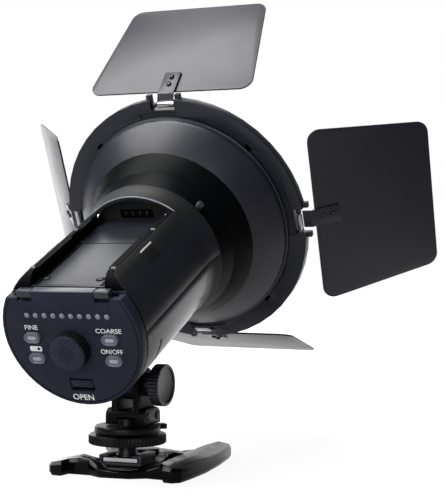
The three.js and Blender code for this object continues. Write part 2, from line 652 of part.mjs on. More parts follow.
function mountSaddle() {
  const inner = tube.radius + gap;
  const outer = inner + saddle.thickness;
  const span = [saddle.start, saddle.end];
  const cradle = sector(inner, outer, 270, saddle.halfAngle, span, smallSteps);
  const [y, z] = [pivot.along, -pivotBelow];
  const curve = arcPoints([y, z], [pivot.tongue, pivot.tongue], 180, 360, 2 * filletSteps);
  const top = -inner - saddle.thickness / 2;
  const tongue = prism("x", outline([...curve, [y + pivot.tongue, -outer - saddle.neckDrop],
    [y + saddle.neckHalf, top], [y - saddle.neckHalf, top], [y - pivot.tongue, -outer - saddle.neckDrop]]),
  [-fork.slotHalf + gap, fork.slotHalf - gap]);
  return cut(join(cradle, tongue), rod("x", pivot.bolt + gap, [-fork.half, fork.half], [y, z]));
}

function bracketFork() {
  const [y, z] = [pivot.forward, pivot.height];
  const blockLow = disc.high + gap;
  const doubleHeight = 2 * (fork.blockTop - blockLow);
  const sides = [-fork.blockHalf, fork.blockHalf];
  const depth = [y - fork.blockDepth / 2, y + fork.blockDepth / 2];
  const rear = roundedBox(2 * fork.blockHalf, doubleHeight, fork.blockRound, [0, blockLow]);
  const side = roundedBox(fork.blockDepth, doubleHeight, fork.plateRound, [y, blockLow]);
  const block = prism("y", rear, depth).intersect(prism("x", side, sides))
    .intersect(box(sides, depth, [blockLow, fork.blockTop]));
  const curve = arcPoints([y, z], [pivot.fork, pivot.fork], 0, 180, 2 * filletSteps);
  const postOutline = outline([...curve, [y - pivot.fork, blockLow], [y + pivot.fork, blockLow]]);
  const post = prism("x", postOutline, [-fork.half, fork.half]);
  const slot = box([-fork.slotHalf, fork.slotHalf], [depth[0] - overrun, depth[1] + overrun],
    [z - fork.slotDrop, z + pivot.fork + overrun]);
  const bossHole = rod("z", disc.boss + gap, [blockLow - overrun, blockLow + disc.bossHeight]);
  const screwHoles = both((sign) => both((end) => {
    const ends = [sign * (fork.blockHalf - forkScrew.depth), sign * (fork.blockHalf + overrun)];
    const at = [y + (end * forkScrew.spacing) / 2, forkScrew.height];
    return rod("x", forkScrew.radius, [Math.min(...ends), Math.max(...ends)], at, pinSteps);
  }));
  const boltHole = rod("x", pivot.bolt + gap, [-fork.half - overrun, fork.half + overrun], [y, z]);
  return cut(join(block, post), slot, bossHole, screwHoles, boltHole);
}

// The pivot's small pieces share its axis, along X
function pivotBolt() {
  const head = -fork.half - gap;
  return join(rod("x", boltHead.radius, [head - boltHead.depth, head], [0, 0], smallSteps),
    rod("x", pivot.bolt, [head - gap, knobFace.boreEnd - gap]));
}

function frictionWasher() {
  const start = fork.half + gap;
  return cut(rod("x", washer.radius, [start, start + washer.thickness]), boltBore());
}

function boltBore() {
  return rod("x", pivot.bolt + gap, [0, knobFace.boreEnd]);
}

function pivotNut() {
  return cut(rod("x", nut.radius, [nut.start, nut.start + nut.depth], [0, 0], nut.sides), boltBore());
}

function tiltKnob() {
  const hubStart = fork.half + gap + washer.thickness + gap;
  const hub = prism("x", toothed(knob.hub, knob.ribDepth, knob.hubRibs), [hubStart, knob.start + gap]);
  const wheelBody = prism("x", toothed(knob.radius, knob.toothDepth, knob.teeth), [knob.start, knob.end]);
  const dishSpan = [knob.end - knobFace.dish, knob.end + overrun];
  const dish = rod("x", knob.radius - knobFace.rim, dishSpan, [0, 0], hiddenSteps);
  const pocketSpan = [hubStart - overrun, nut.start + nut.depth + gap];
  const pocket = rod("x", nut.radius + gap, pocketSpan, [0, 0], nut.sides);
  return cut(join(hub, wheelBody), dish, pocket, boltBore());
}

// Shoe adapter
function adapterDisc() {
  const { radius, low, high, chamfer } = disc;
  const body = turnedUp([[0, low], [radius - chamfer, low], [radius, low + chamfer], [radius, high - chamfer],
    [radius - chamfer, high], [disc.boss, high], [disc.boss, high + disc.bossHeight - gap],
    [0, high + disc.bossHeight - gap]], 2 * smallSteps);
  const thumbSpan = [radius - chamfer - thumbTab.half, radius + thumbTab.reach];
  const thumb = box(thumbSpan, [-thumbTab.half, thumbTab.half], [thumbTab.low, high]);
  const socket = rod("z", foot.stem + gap, [low - overrun, low + disc.socket]);
  return cut(join(body, thumb.rotate([0, 0, thumbTab.sideAngle])), socket);
}

function lockWheel() {
  const body = prism("z", toothed(wheel.radius, wheel.toothDepth, wheel.teeth), [wheel.low, wheel.high]);
  const r = wheel.radius;
  const envelope = turnedUp([[0, wheel.low], [r - wheel.chamfer, wheel.low], [r, wheel.low + wheel.chamfer],
    [r, wheel.high - wheel.chamfer], [r - wheel.chamfer, wheel.high], [0, wheel.high]], 2 * wheel.teeth);
  const bore = rod("z", foot.stem + gap, [wheel.low - overrun, wheel.high + overrun]);
  return cut(body.intersect(envelope), bore);
}

function footWasherBody() {
  const top = wheel.low - gap;
  const body = rod("z", footWasher.radius, [top - footWasher.thickness, top], [0, 0], smallSteps);
  return cut(body, rod("z", foot.stem + gap, [0, wheel.low]));
}

function shoeFoot() {
  const top = foot.low + foot.thickness;
  const plateBody = box([-foot.half, foot.half], [-foot.half, foot.half], [foot.low, top]);
  const root = rod("z", foot.root, [foot.low, top + foot.rootHeight]);
  const stem = rod("z", foot.stem, [foot.low, disc.low + disc.socket - gap]);
  return join(plateBody, root, stem);
}

// Table stand
function coldShoe() {
  const low = plate.height + gap;
  const floorTop = low + shoe.floor;
  const right = [[shoe.half, low], [shoe.half, shoe.top], [shoe.lipHalf, shoe.top],
    [shoe.lipHalf, shoe.lipLow], [shoe.inner, shoe.lipLow], [shoe.inner, floorTop]];
  const left = right.map(([x, z]) => [-x, z]).reverse();
  return prism("y", outline([...right, ...left]), [-shoe.length / 2, shoe.length / 2]);
}

// Outlines of the stand as shares of its half width and of its length behind the stem
const nearPlateShares = [[-0.86, -0.29], [-0.8, -0.34], [-0.64, -0.35], [-0.61, -0.25], [-0.34, -0.26],
  [-0.16, -0.325], [0.25, -0.315], [0.44, -0.255], [0.64, -0.27], [0.72, -0.365], [0.86, -0.38],
  [0.96, -0.33]];
const rightEdgeShares = [[0.99, -0.15], [1.01, 0.12], [0.98, 0.46], [0.9, 0.84], [0.84, 0.95], [0.74, 0.99],
  [0.63, 0.96], [0.62, 0.7], [0.58, 0.49]];
const farEdgeShares = [[0.42, 0.49], [0.14, 0.57], [-0.08, 0.6], [-0.3, 0.66], [-0.56, 0.86], [-0.74, 0.99],
  [-0.88, 1], [-0.98, 0.92], [-0.95, 0.83]];
const leftEdgeShares = [[-0.62, 0.56], [-0.36, 0.42], [-0.34, 0.1], [-0.6, -0.02], [-0.84, -0.1]];
const holeShares = [[0.35, 0.06], [0.5, 0.05], [0.575, 0.1], [0.56, 0.3], [0.53, 0.36], [0.38, 0.38],
  [0.35, 0.34]];

function standOutline(shares) {
  return outline(shares.map(([x, y]) => [x * standReach.side, y * standReach.back]));
}

// The stand's top rises from the flat middle to a crest on each arm and falls again to the outer edge
const rise = { flatEnd: 12, frontFlatEnd: 3, leftCrest: 13.5, leftFall: 21, leftOuter: 31, sideFlat: 15.5,
  sideCrest: 20, frontFrom: 10.5, frontFull: 14, farFrom: 14, farFull: 26 };
const climbPower = 1.6;
const rail = { outer: 39.5, outerDraw: 11, drawFrom: 10, inner: 25, innerDraw: 2, innerDrawFrom: 40,
  end: 70 };

function standHeight(x, y) {
  const { smoothstep, lerp, clamp } = THREE.MathUtils;
  const inner = rail.inner - rail.innerDraw * smoothstep(y, rail.innerDrawFrom, rail.end);
  const outer = rail.outer - rail.outerDraw * smoothstep(y, rail.drawFrom, rail.end);
  const climb = clamp((x - rise.flatEnd) / (rail.inner - rise.flatEnd), 0, 1) ** climbPower;
  const right = x > inner ? lerp(toe.ridge, toe.height, clamp((x - inner) / (outer - inner), 0, 1))
    : lerp(plate.height, toe.ridge, climb);
  const beside = smoothstep(-x, rise.sideFlat, rise.sideCrest);
  const nearSide = smoothstep(-y, rise.frontFrom, rise.frontFull);
  const ahead = smoothstep(-x, rise.frontFlatEnd, rise.leftCrest) * nearSide;
  const fall = clamp((-x - rise.leftFall) / (rise.leftOuter - rise.leftFall), 0, 1);
  const left = lerp(plate.height, lerp(toe.ridge, toe.height, fall), Math.max(beside, ahead));
  const far = lerp(plate.height, toe.height, smoothstep(y, rise.farFrom, rise.farFull));
  return Math.max(right, left, far);
}

function standBase() {
  const whole = standOutline([...nearPlateShares, ...rightEdgeShares, ...farEdgeShares, ...leftEdgeShares]);
  const { height, bevel } = plate;
  const slab = new THREE.ExtrudeGeometry(whole, { depth: height - 2 * bevel, bevelThickness: bevel,
    bevelSize: bevel, bevelOffset: -bevel, bevelSegments: 1 }).translate(0, 0, bevel);
  slab.deleteAttribute("normal");
  slab.deleteAttribute("uv");
  const fine = new TessellateModifier(plate.meshEdge, 2 * tinySteps).modify(slab);
  const places = fine.attributes.position;
  for (let i = 0; i < places.count; i += 1) {
    places.setZ(i, (places.getZ(i) * standHeight(places.getX(i), places.getY(i))) / height);
  }
  const hole = prism("z", standOutline(holeShares), [-overrun, toe.ridge + overrun]);
  const mound = rod("z", insert.bossRadius, [0, insert.bossHeight], [0, insert.back]);
  const bore = rod("z", insert.radius + gap, [-overrun, insert.depth + 2 * gap], [0, insert.back]);
  return cut(join(solid(fine), mound), hole, bore);
}

function threadInsert() {
  const at = [0, insert.back];
  const body = rod("z", insert.radius, [gap, gap + insert.depth], at);
  return cut(body, rod("z", insert.bore, [-overrun, insert.bossHeight], at));
}

// The lamp, its bracket and its stand
function moved(mesh, x, y, z) {
  mesh.position.set(x, y, z);
  return mesh;
}

function lampBody() {
  const buttons = Object.entries(buttonPlaces()).map(([name, [u, up]]) =>
    moved(meshOf(`button_${name}`, buttonBody(), "buttonGrey"), u, 0, up));
  const sides = Object.entries({ top: 0, right: 90, bottom: 180, left: 270 });
  const ringGroup = group(meshOf("barn_door_ring", ringBody(), "satinBlack"),
    ...sides.flatMap(([side, turn]) => [pinAt(side, turn), leafGroup(side, turn)]));
  ringGroup.rotation.y = pose.ringAngle * degree;
  return group(
    meshOf("rear_cap", rearCap(), "panelGrey"),
    meshOf("lower_shell", lowerShell(), "shellGrey"),
    meshOf("upper_shell", upperShell(), "shellGrey"),
    meshOf("battery_plate", bayPlate(), "satinBlack"),
    meshOf("contact_block", contactBlock(), "satinBlack"),
    meshOf("battery_catch", batteryCatch(), "buttonGrey"),
    meshOf("open_slider", openSlider(), "shellGrey"),
    ...buttons,
    moved(meshOf("dial", dialBody(), "satinBlack"), 0, 0, dial.up),
    moved(meshOf("dial_encoder", encoderBody(), "darkMetal"), 0, 0, dial.up),
    meshOf("indicator_light_pipe", lightPipe(), "clearLens"),
    meshOf("control_board", controlBoard(), "boardGreen"),
    meshOf("driver_board", driverBoard(), "boardGreen"),
    meshOf("neck_cone", neckCone(), "satinBlack"),
    meshOf("receiver_window", windowRod(), "glossBlack"),
    meshOf("head_bowl", headBowl(), "shellGrey"),
    meshOf("heat_sink", heatSink(), "darkMetal"),
    meshOf("led_board", ledBoardBody(), "whiteBoard"),
    meshOf("reflector_ring", reflectorRing(), "whiteBoard"),
    meshOf("diffuser_lens", diffuserLens(), "clearLens"),
    meshOf("front_bezel", frontBezel(), "satinBlack"),
    meshOf("mount_saddle", mountSaddle(), "shellGrey"),
    ringGroup,
  );
}

function lamp() {
  const body = lampBody();
  body.position.set(0, -pivot.along, pivotBelow);
  const tilted = group(body);
  tilted.position.set(0, pivot.forward, pivot.height);
  tilted.rotation.x = pose.tiltAngle * degree;
  return tilted;
}

function bracket() {
  const onPivot = (mesh) => moved(mesh, 0, pivot.forward, pivot.height);
  return group(
    meshOf("bracket_fork", bracketFork(), "shellGrey"),
    onPivot(meshOf("pivot_bolt", pivotBolt(), "darkMetal")),
    onPivot(meshOf("friction_washer", frictionWasher(), "rubber")),
    onPivot(meshOf("pivot_nut", pivotNut(), "brightMetal")),
    onPivot(meshOf("tilt_knob", tiltKnob(), "satinBlack")),
    meshOf("adapter_disc", adapterDisc(), "satinBlack"),
    meshOf("lock_wheel", lockWheel(), "satinBlack"),
    meshOf("foot_washer", footWasherBody(), "rubber"),
  );
}

function stand() {
  const all = group(
    meshOf("shoe_foot", shoeFoot(), "brightMetal"),
    meshOf("cold_shoe", coldShoe(), "satinBlack"),
    meshOf("stand_base", standBase(), "glossBlack"),
    meshOf("thread_insert", threadInsert(), "brightMetal"),
  );
  all.rotation.z = pose.standAngle * degree;
  return all;
}

export default group(lamp(), bracket(), stand());
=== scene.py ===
import math
import bmesh
import bpy
from mathutils import Matrix, Vector


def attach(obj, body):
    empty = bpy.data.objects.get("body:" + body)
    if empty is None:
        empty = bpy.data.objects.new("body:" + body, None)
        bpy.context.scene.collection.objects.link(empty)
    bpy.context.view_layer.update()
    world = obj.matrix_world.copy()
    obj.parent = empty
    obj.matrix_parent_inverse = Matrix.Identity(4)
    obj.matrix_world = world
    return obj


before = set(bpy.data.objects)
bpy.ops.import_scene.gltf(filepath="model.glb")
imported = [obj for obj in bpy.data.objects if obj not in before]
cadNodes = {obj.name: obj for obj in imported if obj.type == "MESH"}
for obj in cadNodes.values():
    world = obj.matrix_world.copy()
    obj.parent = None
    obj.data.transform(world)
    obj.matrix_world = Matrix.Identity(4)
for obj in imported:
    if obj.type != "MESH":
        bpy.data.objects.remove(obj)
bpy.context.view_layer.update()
mm = 0.001
thin = 0.01  # a slice or a margin too thin to see, in mm
levelFrom = 0.95  # a level face's normal is at least this much along Z
bothSides = (("left", -1), ("right", 1))
print("frame loaded:", len(cadNodes), "nodes")

# Places in mm: the lamp's own directions are u to its right, a along it towards the light, v upwards
lamp = {"tilt": 24.43, "pivotForward": 6, "pivotHeight": 43.33, "along": 45.12, "below": 50.473,
        "ringTurn": 0.34, "hingeAlong": 135.9, "hingeRadius": 66.4}
leafTurns = {"top": (0, 63.2), "right": (90, 35.8), "bottom": (180, 54.2), "left": (270, 50.8)}


def shift(u, a, v):
    return Matrix.Translation((u * mm, a * mm, v * mm))


def turn(degrees, axis):
    return Matrix.Rotation(math.radians(degrees), 4, axis)


headPlace = (shift(0, lamp["pivotForward"], lamp["pivotHeight"]) @ turn(lamp["tilt"], "X")
             @ shift(0, -lamp["along"], lamp["below"]))
ringPlace = headPlace @ turn(lamp["ringTurn"], "Y")


def leafPlace(side):
    quarterTurn, lean = leafTurns[side]
    hinge = turn(quarterTurn, "Y") @ shift(0, lamp["hingeAlong"], lamp["hingeRadius"])
    return ringPlace @ hinge @ turn(-lean, "X")


# Local Z looks backwards out of the panel
def rear(u, v):
    return headPlace @ shift(u, 0, v) @ turn(90, "X")


def onTop(u, a, v):
    return headPlace @ shift(u, a, v)


# Surface maths: a Field is a number that varies over a surface
class Field:
    def __init__(self, finish, socket):
        self.finish = finish
        self.socket = socket

    def sum(self, operation, first, second):
        return self.finish.add("ShaderNodeMath", {"operation": operation}, {0: first, 1: second})

    def __add__(self, other):
        return self.sum("ADD", self, other)

    __radd__ = __add__

    def __mul__(self, other):
        return self.sum("MULTIPLY", self, other)

    __rmul__ = __mul__

    def __sub__(self, other):
        return self.sum("SUBTRACT", self, other)

    def __rsub__(self, other):
        return self.sum("SUBTRACT", other, self)

    def between(self, low, high):
        return self.finish.add("ShaderNodeMapRange", {"interpolation_type": "SMOOTHSTEP"},
                               {"Value": self, "From Min": low, "From Max": high})


class Finish:
    def __init__(self, name, **plain):
        self.material = bpy.data.materials.new(name)
        self.material.use_nodes = True
        self.tree = self.material.node_tree
        self.shader = self.tree.nodes["Principled BSDF"]
        for socket, value in plain.items():
            self.shader.inputs[socket.replace("_", " ")].default_value = value

    def add(self, kind, settings, inputs, output=0):
        node = self.tree.nodes.new(kind)
        for name, value in settings.items():
            setattr(node, name, value)
        for name, value in inputs.items():
            if isinstance(value, Field):
                self.tree.links.new(value.socket, node.inputs[name])
            else:
                node.inputs[name].default_value = value
        return Field(self, node.outputs[output])

    def feed(self, name, field):
        self.tree.links.new(field.socket, self.shader.inputs[name])

    def place(self):
        return self.add("ShaderNodeTexCoord", {}, {}, "Object")

    def stretched(self, scale, spin=(0, 0, 0)):
        return self.add("ShaderNodeMapping", {}, {"Vector": self.place(), "Scale": scale, "Rotation": spin})

    def noise(self, size, detail, rough, vector=None):
        return self.add("ShaderNodeTexNoise", {}, {"Vector": vector or self.place(), "Scale": 1 / (size * mm),
                                                   "Detail": detail, "Roughness": rough})

    def blend(self, factor, first, second):
        return self.add("ShaderNodeMix", {"data_type": "RGBA"}, {0: factor, 6: first, 7: second}, 2)

    def bump(self, height, depth, strength):
        return self.add("ShaderNodeBump", {}, {"Height": height, "Distance": depth * mm, "Strength": strength})

    # How far a place lies along a direction of the object
    def along(self, place, direction):
        return self.add("ShaderNodeVectorMath", {"operation": "DOT_PRODUCT"}, {0: place, 1: direction}, "Value")

    def edges(self, reach):
        bevel = self.add("ShaderNodeBevel", {"samples": 6}, {"Radius": reach * mm})
        flat = self.add("ShaderNodeNewGeometry", {}, {}, "Normal")
        return (1 - self.along(bevel, flat)).between(0.02, 0.3)


def tone(hexCode):
    parts = [int(hexCode[i:i + 2], 16) / 255 for i in (0, 2, 4)]
    return tuple(p / 12.92 if p <= 0.04045 else ((p + 0.055) / 1.055) ** 2.4 for p in parts) + (1,)


def shade(colour, share):
    return [min(1, part * share) for part in tone(colour)[:3]] + [1]


# Surfaces: sizes in mm, shares of the written colour, and how much each pattern adds to the roughness
plastic = {"patches": 14, "rubs": 1.1, "rubbed": (0.35, 0.75), "edge": 0.35, "wear": 0.55, "darker": 0.86,
           "lighter": 1.12, "bump": 0.5, "coatRoughness": 0.2, "patchDull": 0.14, "grainDull": 0.06, "wornShine": 0.1,
           "dullMean": 0.1}
powderCoat = {"powder": 0.28, "clouds": 22, "scuffs": 9, "scuffStretch": (1, 0.25, 1), "scuffSpin": (0.4, 0.3, 0.9),
              "scuffed": (0.6, 0.74), "rubs": 1.6, "rubbed": (0.3, 0.7), "edge": 0.4, "wear": 0.7, "darker": 0.85,
              "lighter": 1.15, "worn": "8d8c92", "depth": 0.015, "bump": 0.45, "cloudDull": 0.12, "powderDull": 0.08,
              "scuffDull": 0.06, "dullMean": 0.1}
brushed = {"lines": 2.4, "marks": 6, "along": (1, 40, 40), "darker": 0.8, "depth": 0.01, "bump": 0.4,
           "lineDull": 0.16, "markDull": 0.08, "dullMean": 0.12}
lens = {"ripple": 3.2, "dust": 0.9, "colours": ("e9e8e2", "f6f6f4"), "depth": 0.02, "bump": 0.3, "dustDull": 0.1,
        "roughness": 0.12}
finishes = {}


def moulded(name, colour, roughness, grain=0.35, depth=0.02, worn="6a6b72", specular=0.5, coat=0):
    look = Finish(name, Specular_IOR_Level=specular, Coat_Weight=coat, Coat_Roughness=plastic["coatRoughness"])
    fine = look.noise(grain, detail=3, rough=0.6)
    patches = look.noise(plastic["patches"], detail=4, rough=0.55)
    rubbed = look.noise(plastic["rubs"], detail=3, rough=0.7).between(*plastic["rubbed"])
    wear = look.edges(plastic["edge"]) * rubbed * plastic["wear"]
    base = look.blend(patches, shade(colour, plastic["darker"]), shade(colour, plastic["lighter"]))
    look.colour = look.blend(wear, base, tone(worn))
    look.dullness = (patches * plastic["patchDull"] + fine * plastic["grainDull"] + (roughness - plastic["dullMean"])
                     - wear * plastic["wornShine"])
    look.feed("Base Color", look.colour)
    look.feed("Roughness", look.dullness)
    look.feed("Normal", look.bump(fine, depth, plastic["bump"]))
    finishes[name] = look.material
    return look


def sheetMetal(name, colour, roughness):
    look = Finish(name)
    powder = look.noise(powderCoat["powder"], detail=2, rough=0.5)
    clouds = look.noise(powderCoat["clouds"], detail=4, rough=0.6)
    lengthwise = look.stretched(powderCoat["scuffStretch"], powderCoat["scuffSpin"])
    scuffs = look.noise(powderCoat["scuffs"], detail=6, rough=0.75, vector=lengthwise).between(*powderCoat["scuffed"])
    rubbed = look.noise(powderCoat["rubs"], detail=3, rough=0.7).between(*powderCoat["rubbed"])
    wear = look.edges(powderCoat["edge"]) * rubbed * powderCoat["wear"]
    base = look.blend(clouds, shade(colour, powderCoat["darker"]), shade(colour, powderCoat["lighter"]))
    look.feed("Base Color", look.blend(wear, base, tone(powderCoat["worn"])))
    look.feed("Roughness", clouds * powderCoat["cloudDull"] + powder * powderCoat["powderDull"]
              + (roughness - powderCoat["dullMean"]) + scuffs * powderCoat["scuffDull"])
    look.feed("Normal", look.bump(powder, powderCoat["depth"], powderCoat["bump"]))
    finishes[name] = look.material


def brushedMetal(name, colour, roughness):
    look = Finish(name, Metallic=1.0)
    lines = look.noise(brushed["lines"], detail=4, rough=0.65, vector=look.stretched(brushed["along"]))
    marks = look.noise(brushed["marks"], detail=5, rough=0.7)
    look.feed("Base Color", look.blend(marks, shade(colour, brushed["darker"]), tone(colour)))
    look.feed("Roughness", lines * brushed["lineDull"] + marks * brushed["markDull"]
              + (roughness - brushed["dullMean"]))
    look.feed("Normal", look.bump(lines, brushed["depth"], brushed["bump"]))
    finishes[name] = look.material


def clearPlastic(name):
    look = Finish(name, Transmission_Weight=0.85, IOR=1.49)
    ripple = look.noise(lens["ripple"], detail=3, rough=0.6)
    dust = look.noise(lens["dust"], detail=4, rough=0.7)
    look.feed("Base Color", look.blend(ripple, *[tone(colour) for colour in lens["colours"]]))
    look.feed("Roughness", dust * lens["dustDull"] + lens["roughness"])
    look.feed("Normal", look.bump(ripple, lens["depth"], lens["bump"]))
    finishes[name] = look.material


moulded("housing", "1b1c28", 0.4, worn="3b3c48")
upperLook = moulded("housingUpper", "1b1c28", 0.4, worn="3b3c48")
lowerLook = moulded("housingLower", "1c1d24", 0.25, worn="3b3c44", coat=0.3)
moulded("panel", "2c2d3c", 0.5, grain=0.3, depth=0.012, worn="4b4c60", specular=0.12)
moulded("knobBlack", "202127", 0.4, worn="3c3d44", specular=0.6)
# Painted shade: the neck cone is painted near black, much darker than the housing, for the shade it sits in
moulded("neckShadeBlack", "060709", 0.42, worn="16171a", specular=0.06)
moulded("matteBlack", "09090c", 0.6, worn="1c1c20", specular=0.05)
moulded("satinBlack", "101116", 0.36, worn="34353c", specular=0.4)
moulded("trayBlack", "1d1e26", 0.33, grain=0.3, depth=0.01, worn="45464e")
moulded("bracketBlack", "08090c", 0.42, worn="222328", specular=0.14)
moulded("glossBlack", "060608", 0.16, grain=0.8, depth=0.004, worn="26262c", specular=0.16)
moulded("wheelBlack", "0a0a0d", 0.34, worn="4a4b52", specular=0.2)
moulded("rubber", "131316", 0.8, grain=0.22, depth=0.03, worn="2c2c2e", specular=0.3)
moulded("buttonGrey", "6a6b74", 0.25, grain=0.5, depth=0.01, worn="a8a9b2")
moulded("keyGrey", "6c6d7b", 0.28, grain=0.5, depth=0.01, worn="a0a1ae")
# Lighter grey for a painted sheen on the edges of the dial ridges and the slider ribs
moulded("ridgeSheenGrey", "414255", 0.45, grain=0.3, depth=0.01, worn="5c5d70", specular=0.2)
# Pale grey for painted glints: the pads in the keys and the arch edge
moulded("paintedGlint", "b4b5c0", 0.22, grain=0.5, depth=0.01, worn="d8d9e0")
moulded("plateGrey", "3a3a40", 0.42, grain=0.5, worn="6a6a70", specular=0.4)
moulded("dotGrey", "8c8d9c", 0.3, grain=0.5, depth=0.01, worn="9a9bac")
moulded("catchGrey", "34353d", 0.28, worn="6a6b74")
# Light grey for a painted sheen and painted glints: the sill and the ramps on the rails
moulded("sheenGrey", "5c5d66", 0.3, grain=0.4, depth=0.006, worn="9a9ba4")
moulded("foilGrey", "2c2d36", 0.36, grain=0.25, depth=0.006, worn="50515c")
moulded("printWhite", "ffffff", 0.5, grain=0.3, depth=0.004, worn="ffffff", specular=0.3)
# Near white for painted highlights: the ends of the grip ribs and the front edge of the shoe foot
moulded("highlightWhite", "f4f4f6", 0.25, grain=0.4, depth=0.006, worn="ffffff")
moulded("phosphor", "d8b646", 0.5, grain=0.4, depth=0.01, worn="e8cf7a")
moulded("circuitBoard", "1c4a33", 0.55, grain=0.9, worn="5e7d52")
moulded("whiteBoard", "d9d9d4", 0.5, grain=0.6, depth=0.01, worn="efefef")
sheetMetal("sheet", "1c1b28", 0.36)
brushedMetal("brightMetal", "d5d5da", 0.24)
brushedMetal("darkMetal", "4a4b52", 0.38)
clearPlastic("clearLens")

# Painted shade: the tube's flared end and the tops of its rails are painted darker, towards near black, and made
# duller: from and to are places along a direction
paintedShadeTone = "08090b"
flarePaintedShade = {"direction": (0, 1, 0), "from": 76, "to": 88, "duller": 0.5, "coat": 0.3}
railPaintedShade = {"direction": (0, 0, 1), "from": 19, "to": 25, "duller": 0.15, "coat": 0}


# Paints shade: blends the colour towards near black along a direction, and raises the roughness
def paintShade(look, part):
    direction = headPlace.to_3x3() @ Vector(part["direction"])
    reach = look.along(look.place(), direction) - direction.dot(headPlace.translation)
    share = reach.between(part["from"] * mm, part["to"] * mm)
    look.feed("Base Color", look.blend(share, look.colour, tone(paintedShadeTone)))
    look.feed("Roughness", look.dullness + share * part["duller"])
    if part["coat"]:
        look.feed("Coat Weight", (1 - share) * part["coat"])


# Painted shade on the lower shell's flared end and on the upper shell's rail tops
paintShade(lowerLook, flarePaintedShade)
paintShade(upperLook, railPaintedShade)

nodeFinish = {
    "rear_cap": "panel", "lower_shell": "housingLower", "upper_shell": "housingUpper", "battery_plate": "trayBlack",
    "contact_block": "matteBlack", "battery_catch": "catchGrey", "open_slider": "panel",
    "button_fine": "buttonGrey", "button_coarse": "buttonGrey", "button_battery_check": "buttonGrey",
    "button_power": "buttonGrey", "dial": "satinBlack", "dial_encoder": "darkMetal",
    "indicator_light_pipe": "clearLens", "control_board": "circuitBoard", "driver_board": "circuitBoard",
    "neck_cone": "neckShadeBlack", "receiver_window": "plateGrey", "head_bowl": "housing",
    "heat_sink": "darkMetal", "led_board": "whiteBoard", "reflector_ring": "whiteBoard",
    "diffuser_lens": "clearLens", "front_bezel": "satinBlack", "mount_saddle": "housing",
    "barn_door_ring": "housing", "bracket_fork": "bracketBlack", "pivot_bolt": "darkMetal",
    "friction_washer": "rubber", "pivot_nut": "brightMetal", "tilt_knob": "knobBlack",
    "adapter_disc": "wheelBlack", "lock_wheel": "wheelBlack", "foot_washer": "rubber",
    "shoe_foot": "satinBlack", "cold_shoe": "plateGrey", "stand_base": "glossBlack",
    "thread_insert": "brightMetal"}
for side in leafTurns:
    nodeFinish["leaf_" + side] = "sheet"
    nodeFinish["hinge_tab_" + side] = "sheet"
    nodeFinish["hinge_barrel_" + side] = "brightMetal"
    nodeFinish["hinge_pin_" + side] = "darkMetal"

# Every CAD piece gets its finish and softly rounded edges: widths in mm, angles in degrees
edgeWidths = {"stand_base": 0.9, "leaf": 0.25, "hinge": 0.15, "rear_cap": 0.3, "upper_shell": 0.25, "tilt_knob": 0.3,
              "lock_wheel": 0.12, "dial": 0.15, "head_bowl": 0.3, "bracket_fork": 0.4, "adapter_disc": 0.3}
edgeRule = {"width": 0.2, "segments": 2, "sharpFrom": 32, "hardFrom": 24, "flatBelow": 1.5, "merge": 0.01}


def softShading():
    tree = bpy.data.node_groups.new("softShading", "GeometryNodeTree")
    for way in ("INPUT", "OUTPUT"):
        tree.interface.new_socket("Geometry", in_out=way, socket_type="NodeSocketGeometry")
    start, end = tree.nodes.new("NodeGroupInput"), tree.nodes.new("NodeGroupOutput")
    plain = tree.nodes.new("GeometryNodeRemoveAttribute")
    plain.inputs["Name"].default_value = "custom_normal"
    bend = tree.nodes.new("GeometryNodeInputMeshEdgeAngle")
    hard = tree.nodes.new("FunctionNodeCompare")
    hard.operation = "GREATER_THAN"
    hard.inputs[1].default_value = math.radians(edgeRule["hardFrom"])
    steps = [tree.nodes.new("GeometryNodeSetShadeSmooth") for _ in range(3)]
    steps[1].domain = steps[2].domain = "EDGE"
    steps[2].inputs["Shade Smooth"].default_value = False
    tree.links.new(bend.outputs["Unsigned Angle"], hard.inputs[0])
    tree.links.new(hard.outputs[0], steps[2].inputs["Selection"])
    chain = [start, plain, *steps, end]
    for before, after in zip(chain, chain[1:]):
        tree.links.new(before.outputs["Geometry"], after.inputs["Geometry"])
    return tree


smoothTree = softShading()


def finishNode(name, node):
    width = next((w for part, w in edgeWidths.items() if name.startswith(part)), edgeRule["width"])
    node.data.materials.clear()
    node.data.materials.append(finishes[nodeFinish[name]])
    weld = node.modifiers.new("weld", "WELD")
    weld.merge_threshold = edgeRule["merge"] * mm
    flat = node.modifiers.new("flat", "DECIMATE")
    flat.decimate_type, flat.angle_limit = "DISSOLVE", math.radians(edgeRule["flatBelow"])
    rounded = node.modifiers.new("rounded", "BEVEL")
    rounded.width, rounded.segments, rounded.limit_method = width * mm, edgeRule["segments"], "ANGLE"
    rounded.angle_limit, rounded.harden_normals = math.radians(edgeRule["sharpFrom"]), False
    node.modifiers.new("shading", "NODES").node_group = smoothTree


for name, node in cadNodes.items():
    if name in nodeFinish:
        finishNode(name, node)
print("finishes on the CAD pieces")

# Modelling helpers: a primitive is shaped in edit mode round its own origin, Z outwards, then placed
def startCylinder(radius, height, corners, low=0):
    bpy.ops.object.select_all(action="DESELECT")
    bpy.ops.mesh.primitive_cylinder_add(vertices=corners, radius=radius * mm, depth=height * mm)
    bpy.ops.object.mode_set(mode="EDIT")
    bpy.ops.mesh.select_all(action="SELECT")
    move(z=low + height / 2)


def startBox(x, y, z):
    bpy.ops.object.select_all(action="DESELECT")
    bpy.ops.mesh.primitive_cube_add(size=mm)
    bpy.ops.object.mode_set(mode="EDIT")
    bpy.ops.mesh.select_all(action="SELECT")
    bpy.ops.transform.resize(value=[high - low for low, high in (x, y, z)])
    move(*[(low + high) / 2 for low, high in (x, y, z)])


